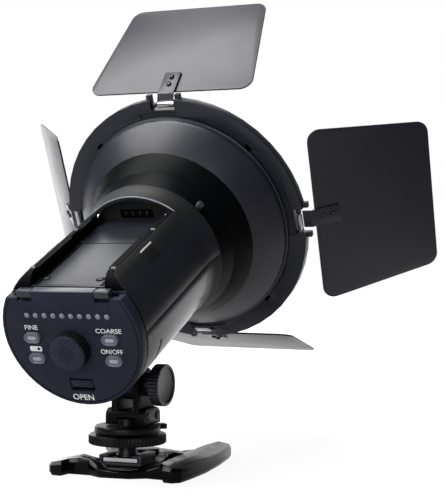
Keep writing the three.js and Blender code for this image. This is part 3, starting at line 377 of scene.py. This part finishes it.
def pick(test, kind="FACE"):
    bpy.ops.mesh.select_mode(type=kind)
    bpy.ops.mesh.select_all(action="DESELECT")
    grid = bmesh.from_edit_mesh(bpy.context.object.data)
    parts = {"VERT": grid.verts, "EDGE": grid.edges, "FACE": grid.faces}[kind]
    for part in parts:
        if test(part):
            part.select_set(True)
    bmesh.update_edit_mesh(bpy.context.object.data)


# Picks what lies wholly at the named coordinates
def pickAt(kind, **places):
    def isThere(part):
        verts = [part] if kind == "VERT" else part.verts
        return all(abs(getattr(vert.co, axis) - place * mm) < thin * mm
                   for vert in verts for axis, place in places.items())
    pick(isThere, kind)


def runsAlong(edge, axis):
    start, end = edge.verts
    return abs(getattr(start.co, axis) - getattr(end.co, axis)) > thin * mm


def isTop(face):
    return face.normal.z > levelFrom


def inset(width, rise=0.0):
    bpy.ops.mesh.inset(thickness=width * mm, depth=rise * mm)


def move(x=0.0, y=0.0, z=0.0):
    bpy.ops.transform.translate(value=(x * mm, y * mm, z * mm))


def bevelPicked(width, segments):
    bpy.ops.mesh.bevel(offset=width * mm, segments=segments, affect="EDGES")


# Rounds the four edges that run along an axis
def roundCorners(radius, segments, axis="z"):
    pick(lambda edge: runsAlong(edge, axis), "EDGE")
    bevelPicked(radius, segments)


# Draws a cylinder out to both sides of its middle
def stretchToLozenge(reach):
    for side in (-1, 1):
        pick(lambda vert: vert.co.x * side > thin * mm, "VERT")
        move(x=side * reach)


def applyModifier(kind, **settings):
    piece = bpy.context.object
    modifier = piece.modifiers.new("shape", kind)
    for name, value in settings.items():
        setattr(modifier, name, value)
    bpy.ops.object.modifier_apply(modifier="shape")


# Rounds and shades a piece, and puts it and its copies, each with its own mesh, in their places
def settle(look, places, bevel=0.12):
    bpy.ops.object.mode_set(mode="OBJECT")
    model = bpy.context.object
    sharp = math.radians(edgeRule["sharpFrom"])
    if bevel:
        applyModifier("BEVEL", width=bevel * mm, segments=edgeRule["segments"], limit_method="ANGLE",
                      angle_limit=sharp)
    bpy.ops.object.shade_smooth_by_angle(angle=sharp)
    model.data.materials.clear()
    model.data.materials.append(finishes[look])
    pieces = [model]
    for _ in places[1:]:
        piece = model.copy()
        piece.data = model.data.copy()
        bpy.context.scene.collection.objects.link(piece)
        pieces.append(piece)
    for piece, (name, body, place) in zip(pieces, places):
        piece.name = piece.data.name = name
        piece.data.transform(place)
        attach(piece, body)


# A raised head with a crossed slot, its parts as shares of the radius and of the height
screwHead = {"rim": 0.16, "rimRise": 0.18, "dome": 0.2, "domeRise": 0.08, "slot": 0.15, "cutReach": 0.7,
             "slotReach": 0.6, "slotWidth": 0.9, "slotDepth": 0.5}


def makeScrew(radius, height):
    startCylinder(radius, height, corners=24)
    pick(isTop)
    inset(radius * screwHead["rim"], height * screwHead["rimRise"])
    inset(radius * screwHead["dome"], height * screwHead["domeRise"])
    slot = radius * screwHead["slot"] * mm
    near = lambda face, share: isTop(face) and face.calc_center_median().xy.length < radius * share * mm
    for axis in ((1, 0, 0), (0, 1, 0)):
        for side in (-1, 1):
            bpy.ops.mesh.bisect(plane_co=[side * slot * part for part in axis], plane_no=axis)
            pick(lambda face: near(face, screwHead["cutReach"]))
    pick(lambda face: near(face, screwHead["slotReach"])
         and min(abs(part) for part in face.calc_center_median().xy) < slot * screwHead["slotWidth"])
    depth = -height * screwHead["slotDepth"] * mm
    bpy.ops.mesh.extrude_region_move(TRANSFORM_OT_translate={"value": (0, 0, depth)})


# An arc round the lamp's axis: a small profile goes from one turn to another
def sweepArc(arc, steps):
    startBox((-thin, thin), arc["a"], arc["radius"])
    pickAt("FACE", x=thin)
    bpy.ops.mesh.spin(steps=steps, angle=math.radians(arc["degrees"]), center=(0, 0, 0), axis=(0, -1, 0))
    bpy.ops.mesh.select_all(action="SELECT")
    bpy.ops.mesh.normals_make_consistent(inside=False)


# Ten dot lenses over the light pipe
dotLens = {"count": 10, "radius": 1.34, "rise": 0.5, "pitch": 4.7, "middle": 0.3, "up": 10.84, "sunk": 0.08}


def makeDotLenses():
    bpy.ops.object.select_all(action="DESELECT")
    bpy.ops.mesh.primitive_uv_sphere_add(segments=20, ring_count=10, radius=dotLens["radius"] * mm)
    bpy.ops.object.mode_set(mode="EDIT")
    bpy.ops.mesh.select_all(action="SELECT")
    bpy.ops.mesh.bisect(plane_co=(0, 0, 0), plane_no=(0, 0, 1), use_fill=True, clear_inner=True)
    bpy.ops.mesh.select_all(action="SELECT")
    bpy.ops.transform.resize(value=(1, 1, dotLens["rise"] / dotLens["radius"]))
    move(z=-dotLens["sunk"])
    first = dotLens["middle"] - (dotLens["count"] - 1) / 2 * dotLens["pitch"]
    places = [(f"dot_lens_{i + 1}", "lamp", rear(first + i * dotLens["pitch"], dotLens["up"]))
              for i in range(dotLens["count"])]
    settle("dotGrey", places, bevel=0)


makeDotLenses()

# Key covers: a raised rim round a sunk field
keyPlaces = {"button_fine": (-20.65, -0.8), "button_coarse": (20.65, -0.8), "button_battery_check": (-20.5, -11.7),
             "button_power": (20.5, -11.7)}
keyCover = {"radius": 2.66, "reach": 1.58, "low": 0.98, "height": 0.5, "lip": (0.12, 0.08), "rim": 0.55,
            "slope": (0.16, -0.32), "field": 0.3}


def onKeys(ending):
    return [(name + ending, name, rear(u, v)) for name, (u, v) in keyPlaces.items()]


def makeKeyCovers():
    startCylinder(keyCover["radius"], keyCover["height"], corners=36, low=keyCover["low"])
    stretchToLozenge(keyCover["reach"])
    pick(isTop)
    inset(*keyCover["lip"])
    inset(keyCover["rim"])
    inset(*keyCover["slope"])
    inset(keyCover["field"])
    settle("keyGrey", onKeys("_cover"), bevel=0.06)


# Painted highlights: pale pads in the key covers, each a low dome with a dent across its middle
paintedGlint = {"radius": 1.0, "reach": 1.3, "low": 1.12, "height": 0.2, "dome": (0.25, 0.16), "dent": 0.14}


def makeKeyGlints():
    startCylinder(paintedGlint["radius"], paintedGlint["height"], corners=24, low=paintedGlint["low"])
    stretchToLozenge(paintedGlint["reach"])
    pick(isTop)
    inset(*paintedGlint["dome"])
    bpy.ops.mesh.select_all(action="SELECT")
    bpy.ops.mesh.bisect(plane_co=(0, 0, 0), plane_no=(1, 0, 0))
    domeFrom = (paintedGlint["low"] + thin) * mm
    pick(lambda vert: abs(vert.co.x) < thin * mm and vert.co.z > domeFrom, "VERT")
    move(z=-paintedGlint["dent"])
    settle("paintedGlint", onKeys("_glint"), bevel=0.05)


makeKeyCovers()
makeKeyGlints()

# Dial face: a shallow dome
dialFace = {"radius": 8.85, "low": 6.26, "height": 0.3, "band": 4.6, "dome": 0.3, "hub": 2.2, "hubRise": 0.06,
            "up": -5.7}


def makeDialFace():
    startCylinder(dialFace["radius"], dialFace["height"], corners=72, low=dialFace["low"])
    pick(isTop)
    inset(dialFace["band"], dialFace["dome"])
    inset(dialFace["hub"], dialFace["hubRise"])
    settle("panel", [("dial_face", "dial", rear(0, dialFace["up"]))], bevel=0.04)


# Radial ridges on the dial face, which narrow and rise towards the middle, painted lighter grey than the face: a
# painted sheen on their edges
dialRidges = {"count": 36, "near": 4.3, "far": 8.7, "rise": 0.3, "halfNear": 0.14, "halfFar": 0.24, "climb": 0.24}


def makeDialRidges():
    low, top = dialFace["low"], dialFace["low"] + dialFace["height"] + dialRidges["rise"]
    near, half, turns = dialRidges["near"], dialRidges["halfFar"], dialRidges["count"]
    startBox((near, dialRidges["far"]), (-half, half), (low, top))
    pickAt("VERT", x=near)
    bpy.ops.transform.resize(value=(1, dialRidges["halfNear"] / half, 1))
    pickAt("VERT", x=near, z=top)
    move(z=dialRidges["climb"])
    bpy.ops.mesh.select_all(action="SELECT")
    bpy.ops.mesh.spin(steps=turns - 1, dupli=True, angle=2 * math.pi * (turns - 1) / turns, center=(0, 0, 0),
                      axis=(0, 0, 1))
    settle("ridgeSheenGrey", [("dial_ridges", "dial", rear(0, dialFace["up"]))], bevel=0.05)


makeDialFace()
makeDialRidges()

# Printed words on the panel: place, height, width
words = {"FINE": (-20.4, 4.34, 2.35, 7.0), "COARSE": (20.44, 3.47, 2.35, 13.4), "ON/OFF": (19.9, -7.23, 2.45, 11.4),
         "OPEN": (-0.81, -32.04, 3.0, 11.2)}
lettering = {"size": 10, "thickness": 0.03, "bold": 0.12}


def makeWords():
    for text, (u, v, height, width) in words.items():
        bpy.ops.object.select_all(action="DESELECT")
        bpy.ops.object.text_add()
        letters = bpy.context.object
        letters.data.body, letters.data.size = text, lettering["size"] * mm
        letters.data.extrude, letters.data.offset = lettering["thickness"] * mm, lettering["bold"] * mm
        bpy.ops.object.convert(target="MESH")
        lows = [min(vert.co[axis] for vert in letters.data.vertices) for axis in (0, 1)]
        highs = [max(vert.co[axis] for vert in letters.data.vertices) for axis in (0, 1)]
        fit = Matrix.Diagonal((width * mm / (highs[0] - lows[0]), height * mm / (highs[1] - lows[1]), 1, 1))
        centred = Matrix.Translation((-(lows[0] + highs[0]) / 2, -(lows[1] + highs[1]) / 2, 0))
        letters.data.transform(fit @ centred)
        name = "print_" + text.replace("/", "_").lower()
        settle("printWhite", [(name, "lamp", rear(u, v))], bevel=0)


# Battery sign: a thin rounded block with a dark dot
batterySign = {"u": -20.49, "v": -6.94, "half": 3.3, "height": 2.7, "thickness": 0.06, "corner": 0.9}
signDot = {"radius": 0.75, "aside": 1.5, "height": 0.08, "rim": (0.12, 0.02)}


def makeBatterySign():
    u, v, half, high = batterySign["u"], batterySign["v"], batterySign["half"], batterySign["height"] / 2
    startBox((-half, half), (-high, high), (0, batterySign["thickness"]))
    roundCorners(batterySign["corner"], segments=5)
    settle("printWhite", [("print_battery", "lamp", rear(u, v))], bevel=0)
    startCylinder(signDot["radius"], signDot["height"], corners=24)
    pick(isTop)
    inset(*signDot["rim"])
    settle("matteBlack", [("print_battery_dot", "lamp", rear(u + signDot["aside"], v))], bevel=0)


makeWords()
makeBatterySign()
print("panel: lenses, keys, dial, lettering")

# Sill over the panel's flange at the back of the bay, painted light grey: a painted sheen along its rounded edge
sill = {"half": 16.4, "a": (0.35, 4.65), "v": (22.82, 23.1), "round": 0.2}


def makeSill():
    startBox((-sill["half"], sill["half"]), sill["a"], sill["v"])
    pickAt("EDGE", y=sill["a"][0], z=sill["v"][1])
    bevelPicked(sill["round"], segments=3)
    settle("sheenGrey", [("bay_sill", "lamp", headPlace)], bevel=0.05)


# Foil on the battery plate: what lies on the plate is sunk into it a little
plate = {"top": 22.8, "sunk": 0.02}
foil = {"u": (-15.6, 16.2), "a": (8.2, 53.6), "height": 0.1, "corner": 0.8, "edge": (0.35, -0.04),
        "field": (0.2, 0.03)}


def onPlate(height):
    return plate["top"] - plate["sunk"], plate["top"] + height


def makeFoil():
    startBox(foil["u"], foil["a"], onPlate(foil["height"]))
    roundCorners(foil["corner"], segments=4)
    pick(isTop)
    inset(*foil["edge"])
    inset(*foil["field"])
    settle("foilGrey", [("plate_foil", "lamp", headPlace)], bevel=0)


# Low step across the battery plate
plateStep = {"u": (-19.4, 17.2), "a": (54.4, 54.8), "height": 0.12}


def makePlateStep():
    startBox(plateStep["u"], plateStep["a"], onPlate(plateStep["height"]))
    settle("matteBlack", [("plate_step", "lamp", headPlace)], bevel=0.04)


# Painted shade: matte black strips laid on the rail tops, each a block inside the tube's skin whose rear end falls in
# a quarter curve
railShadeStrip = {"u": (19.76, 31), "a": (6.55, 81.35), "v": (20, 28.5), "skin": 36.27, "skinLength": 200}
railEnd = {"centre": (13.5, 20.5), "reach": (7.2, 8.0), "steps": 6}


def makeRailShadeStrip(name, sign):
    bpy.ops.object.select_all(action="DESELECT")
    bpy.ops.mesh.primitive_cylinder_add(vertices=96, radius=railShadeStrip["skin"] * mm,
                                        depth=railShadeStrip["skinLength"] * mm, rotation=(math.pi / 2, 0, 0))
    skin = bpy.context.object
    startBox(sorted(sign * u for u in railShadeStrip["u"]), railShadeStrip["a"], railShadeStrip["v"])
    for i in range(railEnd["steps"]):
        bend = math.pi / 2 * (i + 0.5) / railEnd["steps"]
        spot = (0, (railEnd["centre"][0] - railEnd["reach"][0] * math.cos(bend)) * mm,
                (railEnd["centre"][1] + railEnd["reach"][1] * math.sin(bend)) * mm)
        bpy.ops.mesh.select_all(action="SELECT")
        bpy.ops.mesh.bisect(plane_co=spot, plane_no=(0, -math.cos(bend), math.sin(bend)), use_fill=True,
                            clear_outer=True)
    bpy.ops.object.mode_set(mode="OBJECT")
    applyModifier("BOOLEAN", operation="INTERSECT", object=skin, solver="EXACT")
    settle("matteBlack", [(name, "lamp", headPlace)])
    bpy.data.objects.remove(skin)


# Painted shade: matte black strips on the lips over the bay
lipShadeStrip = {"u": (18.58, 20), "a": ((15.4, 50.1), (59.4, 71.6)), "v": (26.05, 28.45)}


def makeLipShadeStrips():
    half = (lipShadeStrip["u"][1] - lipShadeStrip["u"][0]) / 2
    middle = sum(lipShadeStrip["u"]) / 2
    for i, along in enumerate(lipShadeStrip["a"]):
        startBox((-half, half), along, lipShadeStrip["v"])
        places = [(f"lip_cover_{side}_{i + 1}", "lamp", onTop(sign * middle, 0, 0)) for side, sign in bothSides]
        settle("matteBlack", places, bevel=0.25)


# Sunk strips painted matte black: gutters beside the plate, a painted shade between the plate and the rails, and the
# slot behind the sill
gutter = {"left": (-19.5, -16.0), "right": (16.6, 19.5), "a": (7.2, 54), "height": 0.05, "channel": (0.3, -0.04)}
traySlot = {"half": 19.4, "a": (5.15, 6.55), "v": (22.5, 22.84), "channel": (0.2, -0.2)}


def makeChannel(name, u, a, v, channel):
    startBox(u, a, v)
    pick(isTop)
    inset(*channel)
    settle("matteBlack", [(name, "lamp", headPlace)], bevel=0.03)


# Painted highlight: a pale strip along the edge of the arch in front of the bay
archHighlight = {"radius": (36.05, 36.56), "a": (81.25, 81.6), "degrees": 78}


def makeArchHighlight():
    sweepArc(archHighlight, steps=32)
    place = headPlace @ turn(-archHighlight["degrees"] / 2, "Y")
    settle("paintedGlint", [("arch_highlight", "lamp", place)], bevel=0.06)


# A block whose upper rear edge is picked for its slope
def startWedge(part):
    startBox((-part["half"], part["half"]), (0, part["length"]), (0, part["height"]))
    pickAt("EDGE", y=0, z=part["height"])


# Ramps on the rails, painted light grey: painted glints on their slanted ends
lipGlintRamp = {"half": 1.25, "length": 3.2, "height": 1.3, "low": 0.25, "u": 21.5, "a": (11.9, 55.9), "base": 27.6}


def makeLipGlintRamps():
    startWedge(lipGlintRamp)
    move(z=lipGlintRamp["low"] - lipGlintRamp["height"])
    places = [(f"lip_glint_ramp_{side}_{i + 1}", "lamp", onTop(sign * lipGlintRamp["u"], a, lipGlintRamp["base"]))
              for side, sign in bothSides for i, a in enumerate(lipGlintRamp["a"])]
    settle("sheenGrey", places)


# Bright hooks in the front corners of the bay
bayHook = {"half": 0.55, "length": 4.4, "height": 1.3, "slope": 1.4, "round": 0.35, "u": 19.25, "a": 77.4, "v": 26.7}


def makeHooks():
    startWedge(bayHook)
    move(y=bayHook["slope"])
    bevelPicked(bayHook["round"], segments=3)
    places = [("bay_hook_" + side, "lamp", onTop(sign * bayHook["u"], bayHook["a"], bayHook["v"]))
              for side, sign in bothSides]
    settle("brightMetal", places, bevel=0.1)


# Contact blades on the front wall
blade = {"places": (-6, -2, 2, 6), "half": 0.55, "y": (-0.7, 0.4), "v": (24.6, 27.1), "round": 0.45, "wall": 84.5}


def makeContactBlades():
    startBox((-blade["half"], blade["half"]), blade["y"], blade["v"])
    pick(lambda edge: all(vert.co.y < 0 for vert in edge.verts) and runsAlong(edge, "x"), "EDGE")
    bevelPicked(blade["round"], segments=4)
    places = [(f"contact_blade_{i + 1}", "lamp", onTop(u, blade["wall"], 0)) for i, u in enumerate(blade["places"])]
    settle("darkMetal", places, bevel=0.05)


# Two screws of the battery plate, each on a matte black ring: a painted shade round the screw
plateScrew = {"places": ((-15.2, 14.3), (13.8, 14.0)), "radius": 1.35, "height": 0.35, "up": 0.08}
plateShadeRing = {"radius": 2.3, "height": 0.14, "rim": (0.15, 0.03)}


def onPlateScrews(name, up):
    return [(f"{name}_{i + 1}", "lamp", onTop(u, a, plate["top"] + up))
            for i, (u, a) in enumerate(plateScrew["places"])]


def makePlateScrews():
    makeScrew(plateScrew["radius"], plateScrew["height"])
    settle("foilGrey", onPlateScrews("plate_screw", plateScrew["up"]), bevel=0.04)
    startCylinder(plateShadeRing["radius"], plateShadeRing["height"], corners=28)
    pick(isTop)
    inset(*plateShadeRing["rim"])
    settle("matteBlack", onPlateScrews("plate_screw_shade_ring", 0), bevel=0)


makeSill()
makeFoil()
makePlateStep()
for side, sign in bothSides:
    makeRailShadeStrip("rail_cover_" + side, sign)
makeLipShadeStrips()
for side, _ in bothSides:
    makeChannel("tray_gutter_" + side, gutter[side], gutter["a"], onPlate(gutter["height"]), gutter["channel"])
makeChannel("tray_slot", (-traySlot["half"], traySlot["half"]), traySlot["a"], traySlot["v"], traySlot["channel"])
makeArchHighlight()
makeLipGlintRamps()
makeHooks()
makeContactBlades()
makePlateScrews()
print("bay: sill, foil, strips, hooks, contacts")

# Painted highlights: near white ends on the rails' grip ribs
gripGlint = {"turn": 48, "first": 36, "pitch": 2, "count": 6, "x": (-3.35, -2.25), "y": (-0.1, 0.95),
           "z": (36.2, 37.0), "slope": 0.5}


def makeGripGlints():
    startBox(gripGlint["x"], gripGlint["y"], gripGlint["z"])
    pickAt("EDGE", x=gripGlint["x"][1], z=gripGlint["z"][1])
    move(x=-gripGlint["slope"])
    places = []
    for side, sign in bothSides:
        flip = shift(0, sum(gripGlint["y"]), 0) @ turn(180, "Z") if side == "left" else Matrix()
        for i in range(gripGlint["count"]):
            rib = turn(sign * gripGlint["turn"], "Y") @ shift(0, gripGlint["first"] + i * gripGlint["pitch"], 0)
            places.append((f"grip_glint_{side}_{i + 1}", "lamp", headPlace @ rib @ flip))
    settle("highlightWhite", places, bevel=0.1)


# Painted shade: a matte black face over the slider, with the ribs laid on it
sliderShade = {"half": 6.1, "v": (-26.85, -21.95), "a": (0.45, 0.9), "corner": 1.3}


def makeSliderShade():
    startBox((-sliderShade["half"], sliderShade["half"]), sliderShade["a"], sliderShade["v"])
    roundCorners(sliderShade["corner"], segments=5, axis="y")
    settle("matteBlack", [("slider_shade", "catch", headPlace)], bevel=0.05)


# Ribs across the slider, each drawn in at one edge, painted lighter grey: a painted sheen on their edges
sliderRib = {"half": 5.7, "height": 0.42, "a": (0.2, 0.6), "drawn": 0.12, "low": -26.6, "pitch": 0.85, "count": 4}


def makeSliderRibs():
    startBox((-sliderRib["half"], sliderRib["half"]), sliderRib["a"], (0, sliderRib["height"]))
    pickAt("EDGE", y=sliderRib["a"][0], z=0)
    move(y=sliderRib["drawn"])
    places = [(f"slider_rib_{i + 1}", "catch", onTop(0, 0, sliderRib["low"] + i * sliderRib["pitch"]))
              for i in range(sliderRib["count"])]
    settle("ridgeSheenGrey", places, bevel=0.05)


# Front edge of the shoe foot, turned with the stand, painted near white: a painted highlight
footEdge = {"half": 9.0, "y": (-9.3, -9.05), "z": (6.15, 7.95), "field": (0.2, 0.08), "turn": 5}


def makeFootEdge():
    startBox((-footEdge["half"], footEdge["half"]), footEdge["y"], footEdge["z"])
    pickAt("FACE", y=footEdge["y"][0])
    inset(*footEdge["field"])
    settle("highlightWhite", [("foot_edge", "stand", turn(footEdge["turn"], "Z"))], bevel=0.05)


makeGripGlints()
makeSliderShade()
makeSliderRibs()
makeFootEdge()
print("grips, slider, foot edge")

# Two screws on each hinge tab
tabScrew = {"radius": 1.45, "height": 0.8, "face": -2.8, "reach": (12.6, 18.0)}


def makeTabScrews():
    makeScrew(tabScrew["radius"], tabScrew["height"])
    places = [(f"tab_screw_{side}_{i + 1}", "leaf_" + side,
               leafPlace(side) @ shift(0, tabScrew["face"], reach) @ turn(90, "X"))
              for side in leafTurns for i, reach in enumerate(tabScrew["reach"])]
    settle("sheet", places, bevel=0.06)


# Rounded plate on each side of the bracket
sidePlate = {"long": 7.9, "high": 3.7, "corner": 2.6, "height": 0.22, "at": (10.78, 6, 27.8)}


def makeSidePlates():
    startBox((-sidePlate["high"], sidePlate["high"]), (-sidePlate["long"], sidePlate["long"]),
             (0, sidePlate["height"]))
    roundCorners(sidePlate["corner"], segments=5)
    x, y, z = sidePlate["at"]
    places = [("bracket_plate_" + side, "bracket", shift(sign * x, y, z) @ turn(sign * 90, "Y"))
              for side, sign in bothSides]
    settle("plateGrey", places, bevel=0.1)


# Two bolts on each side plate, on matte black rings: a painted shade round each bolt
plateBolt = {"radius": 1.6, "height": 0.5, "x": 10.95, "y": (0.9, 11.1), "z": 27.7}
boltShadeRing = {"radius": 2.15, "height": 0.2, "rim": (0.2, 0.03)}


def onPlateBolts(name):
    return [(f"{name}_{side}_{i + 1}", "bracket",
             shift(sign * plateBolt["x"], y, plateBolt["z"]) @ turn(sign * 90, "Y"))
            for side, sign in bothSides for i, y in enumerate(plateBolt["y"])]


def makePlateBolts():
    startCylinder(boltShadeRing["radius"], boltShadeRing["height"], corners=24)
    pick(isTop)
    inset(*boltShadeRing["rim"])
    settle("matteBlack", onPlateBolts("bracket_shade_ring"), bevel=0.04)
    makeScrew(plateBolt["radius"], plateBolt["height"])
    settle("plateGrey", onPlateBolts("bracket_screw"), bevel=0.04)


# Screws round the front bezel
bezelScrew = {"radius": 1.6, "height": 0.7, "circle": 57.9, "a": 141.5, "count": 8}


def makeBezelScrews():
    makeScrew(bezelScrew["radius"], bezelScrew["height"])
    between = 360 / bezelScrew["count"]
    forwards = shift(0, bezelScrew["a"], bezelScrew["circle"]) @ turn(-90, "X")
    places = [(f"bezel_screw_{i + 1}", "lamp", headPlace @ turn(between * (i + 0.5), "Y") @ forwards)
              for i in range(bezelScrew["count"])]
    settle("darkMetal", places, bevel=0.06)


makeTabScrews()
makeSidePlates()
makePlateBolts()
makeBezelScrews()
print("screws and side plates")

# Light emitters on their board: one body and its yellow field, repeated in rows and cut to a circle
emitter = {"pitch": 6.2, "rows": 15, "circle": 46.5, "board": 125.15}
emitterParts = {"body": {"half": 1.6, "z": (0, 0.8), "field": (0.2, -0.06), "look": "whiteBoard"},
                "field": {"half": 1.3, "z": (0.7, 0.88), "field": (0.2, 0.06), "look": "phosphor"}}


def makeEmitters(name, part):
    pitch = emitter["pitch"]
    startBox((-part["half"], part["half"]), (-part["half"], part["half"]), part["z"])
    pick(isTop)
    inset(*part["field"])
    bpy.ops.object.mode_set(mode="OBJECT")
    for direction in ((1, 0, 0), (0, 1, 0)):
        applyModifier("ARRAY", count=emitter["rows"], use_relative_offset=False, use_constant_offset=True,
                      constant_offset_displace=[pitch * mm * step for step in direction])
    bpy.ops.object.mode_set(mode="EDIT")
    bpy.ops.mesh.select_all(action="SELECT")
    centre = (emitter["rows"] - 1) / 2 * pitch
    move(-centre, -centre)
    middle = lambda place: round(place / (pitch * mm)) * pitch  # of the emitter that a vertex belongs to
    pick(lambda vert: math.hypot(middle(vert.co.x), middle(vert.co.y)) > emitter["circle"], "VERT")
    bpy.ops.mesh.delete(type="VERT")
    place = headPlace @ shift(0, emitter["board"], 0) @ turn(-90, "X")
    settle(part["look"], [("emitter_" + name, "lamp", place)], bevel=0)


for name, part in emitterParts.items():
    makeEmitters(name, part)

# Flange behind the bezel, which closes the ring's notches from behind
bezelFlange = {"inner": 61.4, "outer": 63.4, "a": (139.1, 140.3)}


def makeBezelFlange():
    near, far = bezelFlange["a"]
    startCylinder(bezelFlange["outer"], far - near, corners=96)
    pick(lambda face: abs(face.normal.z) > levelFrom)
    inset(bezelFlange["outer"] - bezelFlange["inner"])
    bpy.ops.mesh.bridge_edge_loops()
    place = headPlace @ shift(0, near, 0) @ turn(-90, "X")
    settle("satinBlack", [("bezel_flange", "lamp", place)], bevel=0.15)


makeBezelFlange()
print("light emitters and bezel flange")

# Seams round the panel: an arc starts at a turn clockwise from the top, seen from behind
capSeam = {"radius": (36.2, 36.45), "a": (5.8, 6.5), "from": 57, "degrees": 246}
faceLine = {"radius": (34.35, 34.75), "a": (-0.05, 0.1), "from": 57, "degrees": 246}


def makeSeam(name, arc):
    sweepArc(arc, steps=90)
    settle("matteBlack", [(name, "lamp", headPlace @ turn(arc["from"], "Y"))], bevel=0)


# Slits under the tube, one on each side
bellySlit = {"radius": (36.25, 36.47), "a": (21.2, 22.9), "from": 109, "degrees": 41}


def makeBellySlits():
    sweepArc(bellySlit, steps=20)
    starts = {"right": bellySlit["from"], "left": -bellySlit["from"] - bellySlit["degrees"]}
    places = [("belly_slit_" + side, "lamp", headPlace @ turn(start, "Y")) for side, start in starts.items()]
    settle("matteBlack", places, bevel=0.05)


makeSeam("cap_seam", capSeam)
makeSeam("face_line", faceLine)
makeBellySlits()
print("seams and slits")

# Floor in metres, its grain in mm: white to the camera but for the lamp's shadow, and white in glossy surfaces
# ahead of the camera
floorLook = {"size": 5, "drop": 0.0002, "papers": ("929292", "9a9a9a"), "grain": 3, "glow": 1.42,
             "mirrored": 0.88, "shadowReach": (0.14, 0.45), "shadowShare": 0.35}
floorAhead = {"from": (-0.1, 0.3), "side": (0.14, 0.34), "lean": 0.35}


def seenDirectly(look):
    rays = {name: look.add("ShaderNodeLightPath", {}, {}, name)
            for name in ("Is Camera Ray", "Is Glossy Ray", "Is Transmission Ray")}
    return rays["Is Camera Ray"], rays["Is Glossy Ray"] + rays["Is Transmission Ray"]


def makeFloor():
    bpy.ops.object.select_all(action="DESELECT")
    bpy.ops.mesh.primitive_plane_add(size=floorLook["size"], location=(0, 0, -floorLook["drop"]))
    floor = bpy.context.object
    floor.name = "floor"
    look = Finish("floorPaper", Roughness=0.7, Specular_IOR_Level=0.1)
    grain = look.noise(floorLook["grain"], detail=3, rough=0.5)
    look.feed("Base Color", look.blend(grain, *[tone(paper) for paper in floorLook["papers"]]))
    seen, mirrored = seenDirectly(look)
    glow = look.add("ShaderNodeEmission", {}, {"Color": (1, 1, 1, 1), "Strength": floorLook["glow"]})
    paper = Field(look, look.shader.outputs[0])
    distance = look.add("ShaderNodeVectorMath", {"operation": "LENGTH"}, {0: look.place()}, "Value")
    depth = look.add("ShaderNodeSeparateXYZ", {}, {0: look.place()}, "Y")
    side = look.add("ShaderNodeSeparateXYZ", {}, {0: look.place()}, "X")
    away = distance.between(*floorLook["shadowReach"])
    right = (side - depth * floorAhead["lean"]).between(*floorAhead["side"])
    ahead = depth.between(*floorAhead["from"]) * (1 - right)
    shadow = away * floorLook["shadowShare"] + (1 - floorLook["shadowShare"])
    share = seen * shadow + mirrored * ahead * floorLook["mirrored"]
    mixed = look.add("ShaderNodeMixShader", {}, {0: share, 1: paper, 2: glow})
    look.tree.links.new(mixed.socket, look.tree.nodes["Material Output"].inputs["Surface"])
    floor.data.materials.append(look.material)


# World: white to the camera, dim on the lamp but for a pale backdrop ahead of the camera
skyLook = {"fill": 0.1, "backdrop": 0.8, "lobe": (0.55, 0.93), "ahead": (-0.42, 0.907, 0.0)}


class Sky(Finish):
    def __init__(self, world):
        world.use_nodes = True
        self.tree = world.node_tree
        self.shader = self.tree.nodes["Background"]


def makeWorld():
    world = bpy.context.scene.world or bpy.data.worlds.new("studio")
    bpy.context.scene.world = world
    sky = Sky(world)
    direction = sky.add("ShaderNodeTexCoord", {}, {}, "Generated")
    facing = sky.along(direction, skyLook["ahead"])
    lit = facing.between(*skyLook["lobe"]) * (skyLook["backdrop"] - skyLook["fill"]) + skyLook["fill"]
    seen = sky.add("ShaderNodeLightPath", {}, {}, "Is Camera Ray")
    sky.feed("Strength", lit * (1 - seen) + seen)
    sky.shader.inputs["Color"].default_value = (1, 1, 1, 1)


# Softboxes in metres: place, what they point at, size and radiance
softboxes = {"overheadSoftbox": ((-0.5, -0.35, 1.15), (0, 0.05, 0.15), (0.9, 1.2), 8.2),
             "farSoftbox": ((-0.55, 0.95, 1.15), (0, 0.05, 0.12), (0.9, 0.7), 2.3),
             "frontSoftbox": ((0.15, -1.25, 0.25), (0, 0, 0.1), (1.0, 0.7), 2.8),
             "leftSoftbox": ((-1.1, 1.0, 0.3), (-0.08, 0.08, 0.13), (0.8, 0.6), 2.0)}


def makeSoftbox(name, place, aim, size, radiance):
    light = bpy.data.lights.new(name, "AREA")
    light.shape, light.size, light.size_y = "RECTANGLE", size[0], size[1]
    light.energy = radiance * math.pi * size[0] * size[1]
    holder = bpy.data.objects.new(name, light)
    bpy.context.scene.collection.objects.link(holder)
    holder.location = place
    holder.rotation_euler = (Vector(aim) - Vector(place)).to_track_quat("-Z", "Y").to_euler()
    holder.visible_camera = False


# Camera in metres, degrees and millimetres of lens and sensor
view = {"place": (0.3156, -0.5978, 0.1116), "up": 90.18, "round": 24.81, "sensor": 36, "lens": 98.18,
        "shift": (0.04898, -0.00716)}


def makeCamera():
    camera = bpy.data.objects.new("camera", bpy.data.cameras.new("camera"))
    bpy.context.scene.collection.objects.link(camera)
    bpy.context.scene.camera = camera
    camera.location = view["place"]
    camera.rotation_euler = (math.radians(view["up"]), 0, math.radians(view["round"]))
    camera.data.sensor_width, camera.data.lens = view["sensor"], view["lens"]
    camera.data.shift_x, camera.data.shift_y = view["shift"]


makeFloor()
makeWorld()
for name, box in softboxes.items():
    makeSoftbox(name, *box)
makeCamera()
bpy.context.scene.view_settings.view_transform = "Standard"
print("stage, lamps and camera set")
